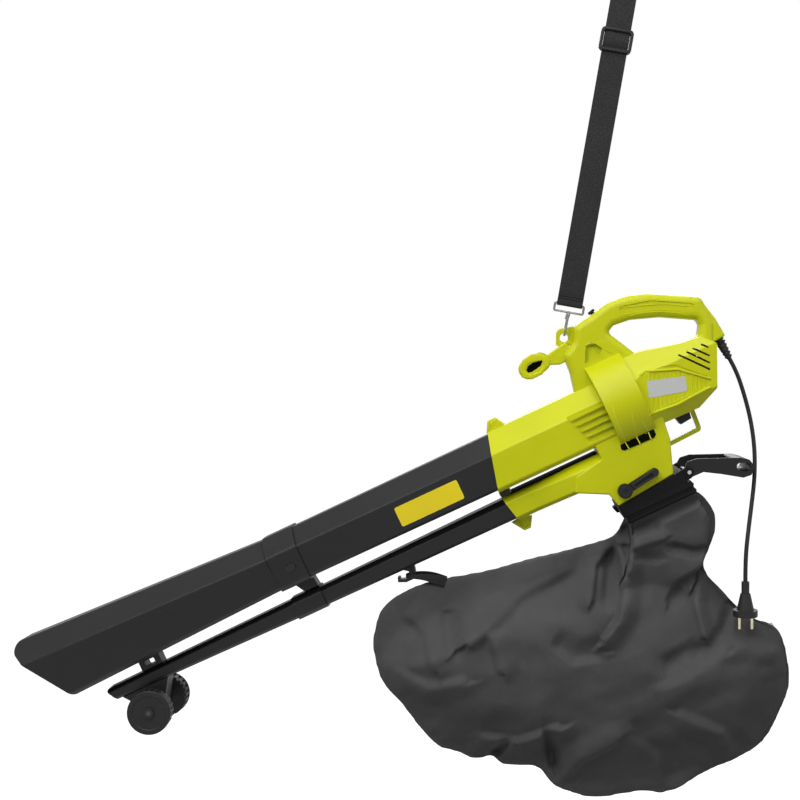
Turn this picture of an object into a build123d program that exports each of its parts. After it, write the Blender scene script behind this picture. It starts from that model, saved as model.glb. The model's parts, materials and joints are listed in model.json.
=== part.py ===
from build123d import *
import os
from collections import namedtuple
from math import atan2, cos, degrees, hypot, pi, radians, sin, tan

os.makedirs("parts", exist_ok=True)

# Driving dimensions, in millimetres and degrees.
# The tool frame has its zero at the fan's centre: u runs along the tool axis from nozzle to grip,
# v stands square to it, and y is across. The row's origin is the centre of the grip.
tilt = 25.0
grip_along = 105.0
grip_above = 115.0

wall = 3.0
tube_wall = 2.4
least_corner = 1.0
fit = 0.3
running = 0.05

# Ducts and tubes: half width, top, crease under the upper bevel, bottom, top flat, lower bevel, corner
Duct = namedtuple("Duct", "half_width top crease bottom flat bevel corner")
Station = namedtuple("Station", "u form inset")
barrel = Duct(half_width=52, top=45.5, crease=14, bottom=-43, flat=19, bevel=6, corner=5)
tube_joint = Duct(half_width=46.5, top=41, crease=14, bottom=-38.5, flat=17, bevel=6, corner=5)
tube_mouth = Duct(half_width=60, top=61, crease=27, bottom=-51, flat=24, bevel=7, corner=6)
lower_duct = Duct(half_width=32, top=-54, crease=-64, bottom=-96, flat=20, bevel=6, corner=4)
lower_throat = Duct(half_width=49, top=-54, crease=-66, bottom=-96, flat=32, bevel=6, corner=4)
blower_joint = Duct(half_width=21, top=-61.5, crease=-68, bottom=-91, flat=13, bevel=5, corner=3)
blower_tip = Duct(half_width=20, top=-66, crease=-71, bottom=-86, flat=13, bevel=4, corner=3)

# Stations along the tool axis
collar_front = -232.0
tube_seat = -186.0
throat_station = -110.0
sleeve_rear = -541.0
sleeve_front = -587.0
mouth_front = -1012.0
blower_front = -908.0

# Housing
fan_radius = 74.0
fan_width = 58.0
motor_half_width = 56.0
motor_edge = 4.0
outlet_half_width = 50.0
spine_half_width = 19.0
grip_round = 11.0
grip_corner = 13.0
opening_corner = 5.0
lug_thickness = 7.0
lug_radius = 12.0
eyelet_radius = 6.5
arm_thickness = 18.0
loop_corner = 4.0
loop_width = 6.5
loop_thickness = 8.0

# Rotor and motor
shaft_radius = 5.0
impeller_radius = 62.0
impeller_depth = 34.0
blade_count = 8
blade_thickness = 2.5
stator_radius = 42.0
stator_length = 46.0
armature_radius = 25.0
bearing_radius = 13.0
bearing_width = 8.0
coil_count = 12

# Mode selector
selector_shaft_radius = 5.0
selector_length = 53.0
flap_length = 56.0
flap_thickness = 2.5

# Bag collar, guide handle and bag
collar_depth = 20.0
collar_length = 112.0
collar_half_width = 54.0
guide_half_width = 40.0
cheek = 4.0
pin_radius = 3.0
bag_half_depth = 72.0
bag_wall = 2.0

# Wheels
wheel_radius = 32.5
wheel_width = 19.0
wheel_track = 88.0
axle_radius = 4.0
tread_count = 24
tread_depth = 2.0

# Shoulder strap
strap_lean = 10.0
strap_width = 40.0
strap_thickness = 1.6
strap_reach = 556.0
wire_radius = 1.8
slider_station = 470.0

# Cord and plug
cord_radius = 3.3
pin_spacing = 19.0
plug_pin_radius = 2.4
plug_pin_length = 19.0

# Smaller sizes
shoulder = 3.0
lip_margin = 0.4
mouth_low = -938.0
blower_low = -896.0
button_at = (-562.0, -12.0)
button_length = 17.0
button_height = 12.0
button_proud = 1.8
button_flange = 3.0
clip_half_width = 12.0
clip_station = -829.0
clip_length = 34.0

bracket_half_width = 17.0
hub_radius = 9.0
cap_radius = 8.0
cap_depth = 3.0
tread_gap = 3.5
tread_round = 2.5
spoke_count = 5
spoke_depth = 2.0

lever_angle = 8.0
lever_boss = 11.0
lever_thickness = 11.0
lever_width = 12.0

collar_shift = 5.5
collar_corner = 8.0
collar_rim = 13.0
ear_thickness = 6.0
ear_side = [(34, -147), (34, -129.5), (46, -128), (55, -137), (47, -146)]
collar_tab = [(-80, -143), (-68, -139), (-68, -153), (-77, -152)]
tab_half_width = 10.0
guide_tip = [(128.6, -151), (138.6, -159), (142, -172), (131.5, -181.5), (118.6, -180)]
guide_under = [(90, -160.5), (67, -146.5)]
guide_heel = [(47, -146), (40.5, -141), (40.5, -133), (44, -128), (52, -122), (67, -124)]
guide_side = guide_tip + guide_under + guide_heel
guide_end = [(116, -145.5)] + guide_tip + [(108, -172.8)]
guide_web = [(110, -174.2)] + guide_under + [(60, -146.3), (60, -142.3), (68, -142.5), (91, -156.5), (112, -170.5)]
guide_slot = (126.0, -165.5)
guide_slot_length = 21.0
guide_slot_height = 13.0

bag_side = [(-72, -364), (-190, -397), (-327, -428), (-398, -461), (-428, -521), (-406, -594), (-342, -668),
            (-255, -707), (-163, -731), (-117, -755), (-62, -759), (62, -734), (174, -669), (215, -577),
            (190, -502), (110, -430), (40, -380)]
bag_centre = (-101.0, -565.0)
bag_mean_radius = 230.0
bag_layers = [(0, 1.0), (18, 0.96), (40, 0.82), (60, 0.58), (72, 0.28)]
neck_steps = [(-345, 27, 150, 52), (-420, 5, 176, 49), (-520, -10, 150, 40)]
neck_corner = 20.0
hook_side = [(-416, -91.9), (-396, -91.9), (-399, -104), (-406, -112), (-418, -112), (-430, -106.5),
             (-427.5, -99.5), (-424, -100.5), (-424.5, -104.5), (-416, -107.5), (-409, -105), (-408, -98)]
hook_half_width = 9.0
bag_loop_route = [(-398.5, -109), (-384, -119.5), (-366.5, -134)]
bag_loop_thickness = 2.5
bag_loop_width = 20.0
zip_at = (190.8, -497.4)
zip_length = 15.0
zip_width = 5.0
zip_thickness = 2.0

knob_length = 11.0
knob_height = 4.5
knob_width = 9.0
knob_low = 3.2
stem_depth = 11.0
switch_travel = 4.0
cord_hook_side = [(66, -54.4), (91, -55.1), (89, -68), (70, -70)]
cord_hook_half_width = 10.0
interlock_side = [(-228, -44), (-213, -44), (-213, -53.4), (-228, -53.4)]
interlock_half_width = 6.0

gland_base = (180.0, 25.15)
gland_angle = -60.0
gland_length = 34.0
gland_radius = 6.2
gland_flange = 3.0
gland_rings = 4
gland_ring_pitch = 5.5
gland_ring_width = 2.6
cord_first_run = 22.0
cord_route = [(147, -4, -140), (156, -8, -180), (160.5, -11, -221), (159.5, -16, -262), (153, -24, -303),
              (145.5, -34, -344), (139.5, -42, -384), (139.5, -42, -419)]
relief_radius = 6.0
relief_length = 18.0
cone_length = 25.0
cone_radii = (7.5, 13.0)
flange_radius = 18.5
flange_depth = 10.0

plate_side = [(45.8, 16.6), (101.5, -1.2), (95, -23), (38, -8.4)]
plate_thickness = 0.5
label_at = (-330.0, -12.5)
label_length = 104.0
label_height = 31.0
screw_head_depth = 3.0

hub_core = 14.0
nut_depth = 7.0
nut_radius = 9.0
back_plate_thickness = 4.0
bearing_plate_station = 122.0
stator_station = 83.0
commutator_radius = 13.0
commutator_length = 9.0
air_gap = 1.5
mount_thickness = 6.0
brush_length = 5.0
brush_height = 8.0
holder_reach = 18.0

hook_half = 11.0
hook_bend = 4.0
hook_tip = 13.0
hook_height = 34.0
yoke_depth = 4.5
bail_width = 45.4
bail_corner = 2.2
bail_height = 12.6
swivel_head = 2.2
strap_gap = 1.2
sewn_length = 22.0
fold_rise = 8.0
slider_height = 34.0
slider_width = 50.0
slider_wall = 2.2
slider_window = 9.0

axis_u = (cos(radians(tilt)), 0, sin(radians(tilt)))


def tool_point(u, v, y=0.0):
    along = u - grip_along
    above = v - grip_above
    lean = radians(tilt)
    return (along * cos(lean) - above * sin(lean), y, along * sin(lean) + above * cos(lean))


def side(y=0.0):
    return Plane(origin=tool_point(0, 0, y), x_dir=axis_u, z_dir=(0, -1, 0))


def section(u):
    return Plane(origin=tool_point(u, 0), x_dir=(0, 1, 0), z_dir=axis_u)


def shrunk(points, inset):
    """A clockwise outline with every edge moved inwards by the same amount."""
    moved = []
    for before, corner, after in zip(points[-1:] + points[:-1], points, points[1:] + points[:1]):
        arrive = (Vector(*corner) - Vector(*before)).normalized()
        leave = (Vector(*after) - Vector(*corner)).normalized()
        share = inset / (1 + arrive.dot(leave))
        moved.append((corner[0] + (arrive.Y + leave.Y) * share, corner[1] - (arrive.X + leave.X) * share))
    return moved


def duct(u, form, inset=0.0):
    right = [
        (form.flat, form.top),
        (form.half_width, form.crease),
        (form.half_width, form.bottom + form.bevel),
        (form.half_width - form.bevel, form.bottom),
    ]
    left = [(-x, y) for x, y in reversed(right)]
    with BuildSketch(section(u)) as outline:
        Polygon(*shrunk(right + left, inset))
        fillet(outline.vertices(), radius=max(form.corner - inset, least_corner))
    return outline.sketch


def run(form_from, u_from, form_to, u_to, inset=0.0, inset_to=None):
    """A straight length of duct between two stations."""
    with BuildPart() as length:
        last_inset = inset if inset_to is None else inset_to
        loft(sections=[duct(u_from, form_from, inset), duct(u_to, form_to, last_inset)])
    return length.part


def tube(stations, thickness):
    spans = list(zip(stations, stations[1:]))
    with BuildPart() as shell:
        add([run(a.form, a.u, b.form, b.u, a.inset, b.inset) for a, b in spans])
        add(
            [run(a.form, a.u, b.form, b.u, a.inset + thickness, b.inset + thickness) for a, b in spans],
            mode=Mode.SUBTRACT,
        )
    return shell.part


def slab(points, half_width, corner=0.0, edge=0.0, centre=0.0):
    """A side outline carried across the tool, with its corners and rims rounded."""
    with BuildPart() as body:
        with BuildSketch(side(centre)) as outline:
            Polygon(*points)
            if corner:
                fillet(outline.vertices(), radius=corner)
        extrude(amount=half_width, both=True)
        if edge:
            rims = body.faces().sort_by(Axis.Y)
            fillet(rims[0].edges() + rims[-1].edges(), radius=edge)
    return body.part


def across(u, v, radius, y_from, y_to):
    """A round bar or bore across the tool."""
    with BuildPart() as bar:
        with BuildSketch(side(y_to)):
            with Locations((u, v)):
                Circle(radius)
        extrude(amount=y_to - y_from)
    return bar.part


def round_bar(u_from, u_to, radius):
    """A round bar or bore along the tool axis."""
    with BuildPart() as bar:
        with BuildSketch(section(u_from)):
            Circle(radius)
        extrude(amount=u_to - u_from)
    return bar.part


# Outlines in the tool frame
motor_side = [(26, 62), (56, 60), (118, 46), (150, 42), (166, 24), (138, -38), (103, -55), (26, -53)]
motor_front = [(22, 64), (motor_half_width, 26), (motor_half_width, -35), (38, -58)]
outlet_side = [(-124, -92), (-78, -116), (-72, -138), (24, -129), (31, -108), (42, -78), (46, -40), (-66, -30),
               (-66, -62), (-112, -70)]
chamber_side = [(-70, -112), (-66, -150), (21, -142), (27, -106), (38, -78), (40, -45), (-60, -45)]
spine_side = [(-62, 30), (-52, 74), (-50, 104), (-27, 116), (-17, 137), (20, 143), (46, 149), (78, 146),
              (108, 136), (181, 96), (184, 50), (160, 0), (60, 0)]
rear_block = [(180, 88), (187, 57), (190, 26), (170, 24.3), (160, 30), (165, 80)]
opening_side = [(28, 107), (40, 113), (68, 110), (111, 94.5), (160, 67), (161, 58), (152, 44), (124, 45),
                (60, 61), (52, 61)]
grip_hollow = [(56, 139), (108, 127), (170, 92), (165, 80), (112, 104), (70, 119), (56, 122)]
grip_panel = [(58, 136), (108, 124), (166, 92), (161, 84), (110, 108), (58, 123)]
post_recess = [(-12, 104), (16, 96), (-2, 78), (-26, 78)]
arm_side = [(-36, 122), (-36, 94), (-60, 93), (-80, 101), (-80, 114)]
top_fin = [(-203, 42), (-197, 57), (-186, 62), (-175, 44)]
low_fin = [(-232, -92), (-217, -113), (-208, -112), (-199, -92)]
front_edge = [(-200, 70), (-230, -49), (-212, -125), (-290, -125), (-290, 70)]
rib_panel = [(-26, 37), (-88, 17), (-74, -33), (-26, -33)]
label_panel = [(36, 30), (58, 33), (96, 20), (136, -20), (130, -29), (36, -29)]
vent_slots = [((107, 31), (139, -7)), ((120, 30), (143, 2)), ((131, 31), (147, 12)), ((145, 31), (151, 24))]
loop_route = [(97, -48), (94, -89), (36, -91)]
screw_points = [(178, 52), (-38, 92), (46, 126), (-221, -49), (-90, -100)]
ring_centre = (-97.0, 108.0)
ring_length = 52.0
ring_height = 31.0
ring_pocket = [(-115, 104), (-106, 112), (-90, 115), (-79, 112), (-88, 104), (-104, 101)]
pocket_depth = 7.0
eyelet = (-37.0, 128.0)
selector_pivot = (-54.0, -120.0)
guide_pivot = (47.0, -137.0)
wheel_axle = (-847.0, -120.0)
slot_width = 3.0
panel_depth = 1.2
recess_depth = 6.0
rib_width = 3.0
band_gap = [(-24, -54), (-24, -64), (25, -64), (25, -54)]
band_ribs = 3
band_rib_width = 1.5
switch_room = [(2, 118), (6, 134), (34, 140), (38, 124)]
switch_half_width = 8.0
switch_slot = ((14, 140), (26, 143))
switch_stem = 6.0
rib_count = 5
rib_height = 4.0
screw_radius = 2.0
screw_head_radius = 3.8
screw_head_y = 8.0
screw_tip_y = -10.0


def motor_form(inset):
    with BuildPart() as form:
        with BuildSketch(side()) as outline:
            Polygon(*motor_side)
            fillet(outline.vertices(), radius=motor_edge)
            if inset:
                offset(amount=-inset, mode=Mode.REPLACE)
        extrude(amount=motor_half_width, both=True)
        with BuildSketch(section(0)) as front:
            Polygon(*motor_front, *[(-x, y) for x, y in reversed(motor_front)])
            fillet(front.vertices(), radius=motor_edge)
            if inset:
                offset(amount=-inset, mode=Mode.REPLACE)
        extrude(amount=2 * motor_side[4][0], mode=Mode.INTERSECT)
    return form.part


def spine_form():
    with BuildSketch() as opening:
        Polygon(*opening_side)
        fillet(opening.vertices(), radius=opening_corner)
    with BuildPart() as form:
        with BuildSketch(side()) as outline:
            Polygon(*spine_side)
            fillet(outline.vertices(), radius=grip_corner)
            add(opening.sketch_local, mode=Mode.SUBTRACT)
        extrude(amount=spine_half_width, both=True)
        rims = form.faces().sort_by(Axis.Y)
        fillet(rims[0].edges() + rims[-1].edges(), radius=grip_round)
    return form.part


def pockets(points, depth, half_width, corner):
    """The same shallow recess in both flanks."""
    with BuildPart() as cuts:
        for sign in (-1, 1):
            add(slab(points, depth, corner=corner, centre=sign * half_width))
    return cuts.part


def bar_between(start, end, width, half_depth, centre):
    """A straight round-ended slot cut or rib in a flank, drawn from one point to the other."""
    run = hypot(end[0] - start[0], end[1] - start[1])
    turn = degrees(atan2(end[1] - start[1], end[0] - start[0]))
    with BuildPart() as bar:
        with BuildSketch(side(centre)):
            with Locations(((start[0] + end[0]) / 2, (start[1] + end[1]) / 2)):
                SlotOverall(run + width, width, rotation=turn)
        extrude(amount=half_depth, both=True)
    return bar.part

fin_half_width = 9.0
duct_web = [(-230, -38), (-212, -38), (-212, -60), (-230, -60)]
web_half_width = 18.0
clamp_room = [(172, 33), (186, 34), (186, 44), (172, 43)]
clamp_half_width = 8.0
rib_pitch = 11.0
rib_top = 22.0
band_rib_pitch = 14.0


def level(u, start, end):
    """Height at station u on the line through two points."""
    return start[1] + (end[1] - start[1]) * (u - start[0]) / (end[0] - start[0])


def ribbed_recess(flank):
    """A recess in the barrel's flank with level ribs left standing in it."""
    with BuildPart() as recess:
        add(slab(rib_panel, rib_height, corner=2, centre=flank * barrel.half_width))
        ribs = []
        for number in range(rib_count):
            height = rib_top - number * rib_pitch
            reach = rib_panel[1][0] + 6 + 4 * abs(number - 1)
            ribs.append(
                bar_between((reach, height), (rib_panel[0][0], height), rib_width, 2 * rib_height,
                            flank * barrel.half_width)
            )
        add(ribs, mode=Mode.SUBTRACT)
    return recess.part


def band_recess(flank):
    """The dark gap under the fan case, crossed by thin upright ribs."""
    with BuildPart() as recess:
        add(slab(band_gap, recess_depth, corner=1, centre=flank * outlet_half_width))
        ribs = []
        for number in range(band_ribs):
            station = band_gap[0][0] + 8 + number * band_rib_pitch
            ribs.append(
                bar_between((station, band_gap[0][1] + 2), (station, band_gap[1][1] - 2), band_rib_width,
                            2 * recess_depth, flank * outlet_half_width)
            )
        add(ribs, mode=Mode.SUBTRACT)
    return recess.part


def finished(builder, name):
    builder.part.label = name
    export_step(builder.part, f"parts/{name}.step")
    print(name, round(builder.part.volume), len(builder.part.solids()), builder.part.is_valid)


slide_turn = atan2(switch_slot[1][1] - switch_slot[0][1], switch_slot[1][0] - switch_slot[0][0])
switch_mid = ((switch_slot[0][0] + switch_slot[1][0]) / 2, (switch_slot[0][1] + switch_slot[1][1]) / 2)


def switch_frame(along, above):
    return (
        switch_mid[0] + along * cos(slide_turn) - above * sin(slide_turn),
        switch_mid[1] + along * sin(slide_turn) + above * cos(slide_turn),
    )


def switch_box(along, low, high):
    corners = [(-along, low), (along, low), (along, high), (-along, high)]
    return [switch_frame(*corner) for corner in corners]


# Housing: both shells are cut from one closed form
seat_inset = wall + fit + tube_wall
bearing_boss = bearing_radius + 4.0
with BuildPart() as housing_forms:
    with BuildSketch(section(-fan_width / 2)):
        Circle(fan_radius)
    extrude(amount=fan_width)
    with BuildSketch(side()):
        with Locations(ring_centre):
            SlotOverall(ring_length, ring_height, rotation=6)
    extrude(amount=arm_thickness / 2 + 1, both=True)
    with BuildSketch(side()):
        with Locations(eyelet):
            Circle(lug_radius)
    extrude(amount=lug_thickness / 2, both=True)
    with BuildSketch(side()):
        with BuildLine():
            FilletPolyline(*loop_route, radius=loop_corner)
        trace(line_width=loop_width)
    extrude(amount=loop_thickness / 2, both=True)
    add([
        motor_form(0),
        run(barrel, collar_front - 8, barrel, 0),
        run(lower_duct, collar_front - 8, lower_duct, tube_seat),
        run(lower_duct, tube_seat, lower_throat, throat_station),
        run(lower_throat, throat_station, lower_throat, selector_pivot[0]),
        slab(outlet_side, outlet_half_width, corner=3, edge=3),
        spine_form(),
        slab(rear_block, spine_half_width - 3, corner=3, edge=3),
        slab(arm_side, arm_thickness / 2, corner=2, edge=3),
        slab(top_fin, fin_half_width, corner=2, edge=3),
        slab(low_fin, fin_half_width, corner=2, edge=3),
        slab(duct_web, web_half_width),
    ])

# Ducts, fan chamber, outlet chamber, motor room and recesses
hollows = [
    slab(front_edge, 2 * barrel.half_width),
    run(barrel, collar_front - 8, barrel, tube_seat, wall),
    run(barrel, tube_seat, barrel, -20, seat_inset),
    run(lower_duct, collar_front - 8, lower_duct, tube_seat, wall),
    run(lower_duct, tube_seat, lower_throat, throat_station, seat_inset),
    run(lower_throat, throat_station, lower_throat, selector_pivot[0], seat_inset),
    round_bar(wall - fan_width / 2, fan_width / 2 - wall, fan_radius - wall),
    round_bar(0, fan_width, bearing_boss),
    slab(chamber_side, outlet_half_width - wall),
    motor_form(wall),
    slab(grip_hollow, spine_half_width - wall, corner=4),
    pockets(grip_panel, panel_depth, spine_half_width, 4),
    pockets(post_recess, recess_depth, spine_half_width, 1.5),
    pockets(label_panel, panel_depth, motor_half_width, 4),
    slab(ring_pocket, pocket_depth / 2, centre=-(arm_thickness + 2 - pocket_depth) / 2),
    slab(switch_room, switch_half_width + fit),
    slab(switch_box(switch_stem / 2 + switch_travel + fit, -stem_depth, knob_low), switch_stem / 2 + fit),
    slab(clamp_room, clamp_half_width + fit),
    across(*eyelet, eyelet_radius, -lug_thickness, lug_thickness),
    across(*selector_pivot, selector_shaft_radius + running, -fan_radius, fan_radius),
]
for u, v in screw_points:
    hollows.append(across(u, v, screw_radius + fit, screw_tip_y - fit, screw_head_y))
    hollows.append(across(u, v, screw_head_radius + fit, screw_head_y, fan_radius))
for flank in (-1, 1):
    hollows.append(ribbed_recess(flank))
    hollows.append(band_recess(flank))
    for start, end in vent_slots:
        hollows.append(bar_between(start, end, slot_width, motor_half_width / 2, flank * motor_half_width))

with BuildPart() as housing:
    add(housing_forms.part)
    add(hollows, mode=Mode.SUBTRACT)
print("housing", housing.part.volume, housing.part.is_valid, len(housing.part.solids()))

with BuildPart() as housing_left:
    add(housing.part)
    split(bisect_by=Plane.XZ, keep=Keep.TOP)
with BuildPart() as housing_right:
    add(housing.part)
    split(bisect_by=Plane.XZ, keep=Keep.BOTTOM)
finished(housing_left, "housing_left")
finished(housing_right, "housing_right")


# Suction and blower tubes
sleeve_out = fit + tube_wall
step_front = sleeve_front - shoulder


def slip_tube(joint, front, front_station, low_station, lip_corner):
    """A front tube with a slanted lip, and a socket that slips over the rear tube's spigot."""
    low_level = level(low_station, (front_station, front.bottom), (step_front, joint.bottom))
    lip = [
        (front_station, front.top + lip_margin),
        (low_station, low_level - lip_margin),
        (step_front, joint.bottom - lip_margin),
        (step_front, joint.top + lip_margin),
    ]
    stations = (step_front, sleeve_front, sleeve_rear)
    step, socket_front, socket_rear = [Station(u, joint, -sleeve_out) for u in stations]
    with BuildPart() as body:
        add(tube([Station(front_station, front, 0), Station(step_front, joint, 0)], tube_wall))
        with BuildSketch(side()) as outline:
            Polygon(*lip)
            fillet(outline.vertices().sort_by(Axis.X)[:2], radius=lip_corner)
        extrude(amount=2 * front.half_width, both=True, mode=Mode.INTERSECT)
        add([
            tube([step, socket_front], sleeve_out + tube_wall),
            tube([socket_front, socket_rear], tube_wall),
        ])
    return body.part


def spigot_tube(joint, rear):
    """A rear tube from the housing's seat to the spigot."""
    return tube(
        [Station(sleeve_front + fit, joint, 0), Station(sleeve_rear, joint, 0), Station(tube_seat - fit, rear, wall + fit)],
        tube_wall,
    )


def button_slot(grow, y_from, y_to):
    with BuildPart() as slot:
        with BuildSketch(side(y_to)):
            with Locations(button_at):
                SlotOverall(button_length + 2 * grow, button_height + 2 * grow)
        extrude(amount=y_to - y_from)
    return slot.part


socket_face = tube_joint.half_width + sleeve_out
spigot_inside = tube_joint.half_width - tube_wall
with BuildPart() as rear_suction_tube:
    add(spigot_tube(tube_joint, barrel))
    add(button_slot(fit, -socket_face, 0), mode=Mode.SUBTRACT)
with BuildPart() as front_suction_tube:
    add(slip_tube(tube_joint, tube_mouth, mouth_front, mouth_low, 12))
    add(button_slot(fit, -socket_face - wall, 0), mode=Mode.SUBTRACT)
with BuildPart() as tube_lock_button:
    add([
        button_slot(0, -socket_face - button_proud, -spigot_inside + fit),
        button_slot(button_flange, -spigot_inside + fit, -spigot_inside + fit + tube_wall),
    ])
with BuildPart() as rear_blower_tube:
    add(spigot_tube(blower_joint, lower_duct))
with BuildPart() as front_blower_tube:
    add(slip_tube(blower_joint, blower_tip, blower_front, blower_low, 3))

for builder, name in [
    (rear_suction_tube, "rear_suction_tube"),
    (front_suction_tube, "front_suction_tube"),
    (tube_lock_button, "tube_lock_button"),
    (rear_blower_tube, "rear_blower_tube"),
    (front_blower_tube, "front_blower_tube"),
]:
    finished(builder, name)


def upper_underside(u):
    return level(u, (mouth_front, tube_mouth.bottom), (step_front, tube_joint.bottom)) - fit


def lower_topside(u):
    return level(u, (blower_front, blower_tip.top), (step_front, blower_joint.top)) + fit


def lower_underside(u):
    return level(u, (blower_front, blower_tip.bottom), (step_front, blower_joint.bottom)) - fit


# Clips between the tubes
clip_top = tube_joint.bottom - sleeve_out - fit
clip_low = blower_joint.top + sleeve_out + fit
with BuildPart() as middle_tube_clip:
    add(slab([(-576, clip_top), (-566, clip_low), (-543, clip_low), (-545, clip_top)], clip_half_width, edge=1))
with BuildPart() as front_tube_clip:
    rear, front = clip_station + clip_length / 2, clip_station - clip_length / 2
    corners = [(front, upper_underside(front)), (rear, upper_underside(rear)), (rear, lower_topside(rear)),
               (front, lower_topside(front))]
    add(slab(corners, clip_half_width, edge=1))
    window = [(clip_station - 8, -51), (clip_station + 8, -51), (clip_station + 8, -60), (clip_station - 8, -60)]
    add(slab(window, 2 * clip_half_width, corner=2), mode=Mode.SUBTRACT)
finished(middle_tube_clip, "middle_tube_clip")
finished(front_tube_clip, "front_tube_clip")

# Wheels
hub_half = (wheel_track - wheel_width) / 2 - fit
axle_u, axle_v = wheel_axle
wheel_face = (wheel_track + wheel_width) / 2
with BuildPart() as wheel_bracket:
    legs = [(axle_u - 41, lower_underside(axle_u - 41)), (axle_u + 35, lower_underside(axle_u + 35)),
            (axle_u + 10, axle_v - 7), (axle_u - 10, axle_v - 7)]
    add([slab(legs, bracket_half_width, edge=1), across(axle_u, axle_v, hub_radius, -hub_half, hub_half)])
    add(across(axle_u, axle_v, axle_radius + running, -hub_half - 1, hub_half + 1), mode=Mode.SUBTRACT)
with BuildPart() as wheel_axle_bar:
    add(across(axle_u, axle_v, axle_radius, -wheel_face - cap_depth, wheel_face + cap_depth))
with BuildPart() as axle_caps:
    for sign in (-1, 1):
        middle = sign * (wheel_face + fit + cap_depth / 2)
        add(across(axle_u, axle_v, cap_radius, middle - cap_depth / 2, middle + cap_depth / 2))
    add(
        across(axle_u, axle_v, axle_radius + running, -2 * wheel_face, 2 * wheel_face),
        mode=Mode.SUBTRACT,
    )


def wheel(sign):
    middle = sign * wheel_track / 2
    with BuildPart() as disc:
        add(across(axle_u, axle_v, wheel_radius, middle - wheel_width / 2, middle + wheel_width / 2))
        fillet(disc.edges().filter_by(GeomType.CIRCLE), radius=tread_round)
        with BuildSketch(side(middle)):
            with Locations((axle_u, axle_v)):
                with PolarLocations(wheel_radius, tread_count):
                    Rectangle(2 * tread_depth, tread_gap)
        extrude(amount=wheel_width, both=True, mode=Mode.SUBTRACT)
        with BuildSketch(side(sign * wheel_face)):
            with Locations((axle_u, axle_v)):
                with PolarLocations(wheel_radius * 0.55, spoke_count):
                    SlotOverall(14, 6, rotation=90)
        extrude(amount=spoke_depth, both=True, mode=Mode.SUBTRACT)
        add(across(axle_u, axle_v, axle_radius + running, -2 * wheel_face, 2 * wheel_face), mode=Mode.SUBTRACT)
    return disc.part


with BuildPart() as wheel_left:
    add(wheel(-1))
with BuildPart() as wheel_right:
    add(wheel(1))
for builder, name in [
    (wheel_bracket, "wheel_bracket"),
    (wheel_axle_bar, "wheel_axle"),
    (axle_caps, "axle_caps"),
    (wheel_left, "wheel_left"),
    (wheel_right, "wheel_right"),
]:
    finished(builder, name)

# Mode selector outside the left flank, and the flap it turns inside the outlet
lever_root = -(outlet_half_width + fit)
lever_turn = radians(lever_angle)


def from_pivot(length):
    return (selector_pivot[0] + length * cos(lever_turn), selector_pivot[1] + length * sin(lever_turn))


lever_tip = from_pivot(selector_length)
flap_tip = from_pivot(flap_length)
flap_half_width = outlet_half_width - wall - 1
with BuildPart() as mode_selector:
    add([
        across(*selector_pivot, lever_boss, lever_root - lever_thickness, lever_root),
        bar_between(selector_pivot, lever_tip, lever_width, lever_thickness / 2 - 1, lever_root - lever_thickness / 2),
        across(*selector_pivot, selector_shaft_radius, lever_root - 1, outlet_half_width - fit),
    ])
with BuildPart() as diverter_flap:
    add([
        bar_between(selector_pivot, flap_tip, flap_thickness, flap_half_width, 0),
        across(*selector_pivot, selector_shaft_radius + wall, -flap_half_width, flap_half_width),
    ])
    add(across(*selector_pivot, selector_shaft_radius + running, -fan_radius, fan_radius), mode=Mode.SUBTRACT)
finished(mode_selector, "mode_selector")
finished(diverter_flap, "diverter_flap")

# Bag collar under the outlet
outlet_start, outlet_end = outlet_side[2], outlet_side[3]
outlet_turn = atan2(outlet_end[1] - outlet_start[1], outlet_end[0] - outlet_start[0])


def collar_plane(below, shift=0.0):
    """Plane square to the outlet at a distance below its end; x runs along the tool."""
    along = collar_shift + shift
    u = (outlet_start[0] + outlet_end[0]) / 2 + along * cos(outlet_turn) + below * sin(outlet_turn)
    v = (outlet_start[1] + outlet_end[1]) / 2 + along * sin(outlet_turn) - below * cos(outlet_turn)
    lean = outlet_turn + radians(tilt)
    return Plane(origin=tool_point(u, v), x_dir=(cos(lean), 0, sin(lean)), z_dir=(sin(lean), 0, -cos(lean)))


ear_centre = guide_half_width + fit + ear_thickness / 2
with BuildPart() as bag_collar:
    with BuildSketch(collar_plane(fit)):
        RectangleRounded(collar_length, 2 * collar_half_width, collar_corner)
        RectangleRounded(
            collar_length - 2 * collar_rim,
            2 * (collar_half_width - collar_rim),
            collar_corner,
            mode=Mode.SUBTRACT,
        )
    extrude(amount=collar_depth)
    ears = [slab(ear_side, ear_thickness / 2, corner=3, centre=sign * ear_centre) for sign in (-1, 1)]
    add(ears + [slab(collar_tab, tab_half_width, corner=1)])
    add(across(*guide_pivot, pin_radius + running, -2 * ear_centre, 2 * ear_centre), mode=Mode.SUBTRACT)

# Guide handle: two cheeks, an under web and a hollow bar across the end
with BuildPart() as guide_handle:
    cheek_centre = guide_half_width - cheek / 2
    cheeks = [slab(guide_side, cheek / 2, corner=3, centre=y) for y in (-cheek_centre, cheek_centre)]
    add(cheeks + [slab(guide_end, guide_half_width, corner=3), slab(guide_web, guide_half_width - 1)])
    with BuildSketch(side()):
        with Locations(guide_slot):
            SlotOverall(guide_slot_length, guide_slot_height, rotation=-27)
    extrude(amount=2 * guide_half_width, both=True, mode=Mode.SUBTRACT)
    add(across(*guide_pivot, pin_radius + running, -2 * ear_centre, 2 * ear_centre), mode=Mode.SUBTRACT)
with BuildPart() as guide_handle_pin:
    add(across(*guide_pivot, pin_radius, -ear_centre - ear_thickness / 2, ear_centre + ear_thickness / 2))
for builder, name in [
    (bag_collar, "bag_collar"),
    (guide_handle, "guide_handle"),
    (guide_handle_pin, "guide_handle_pin"),
]:
    finished(builder, name)


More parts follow.
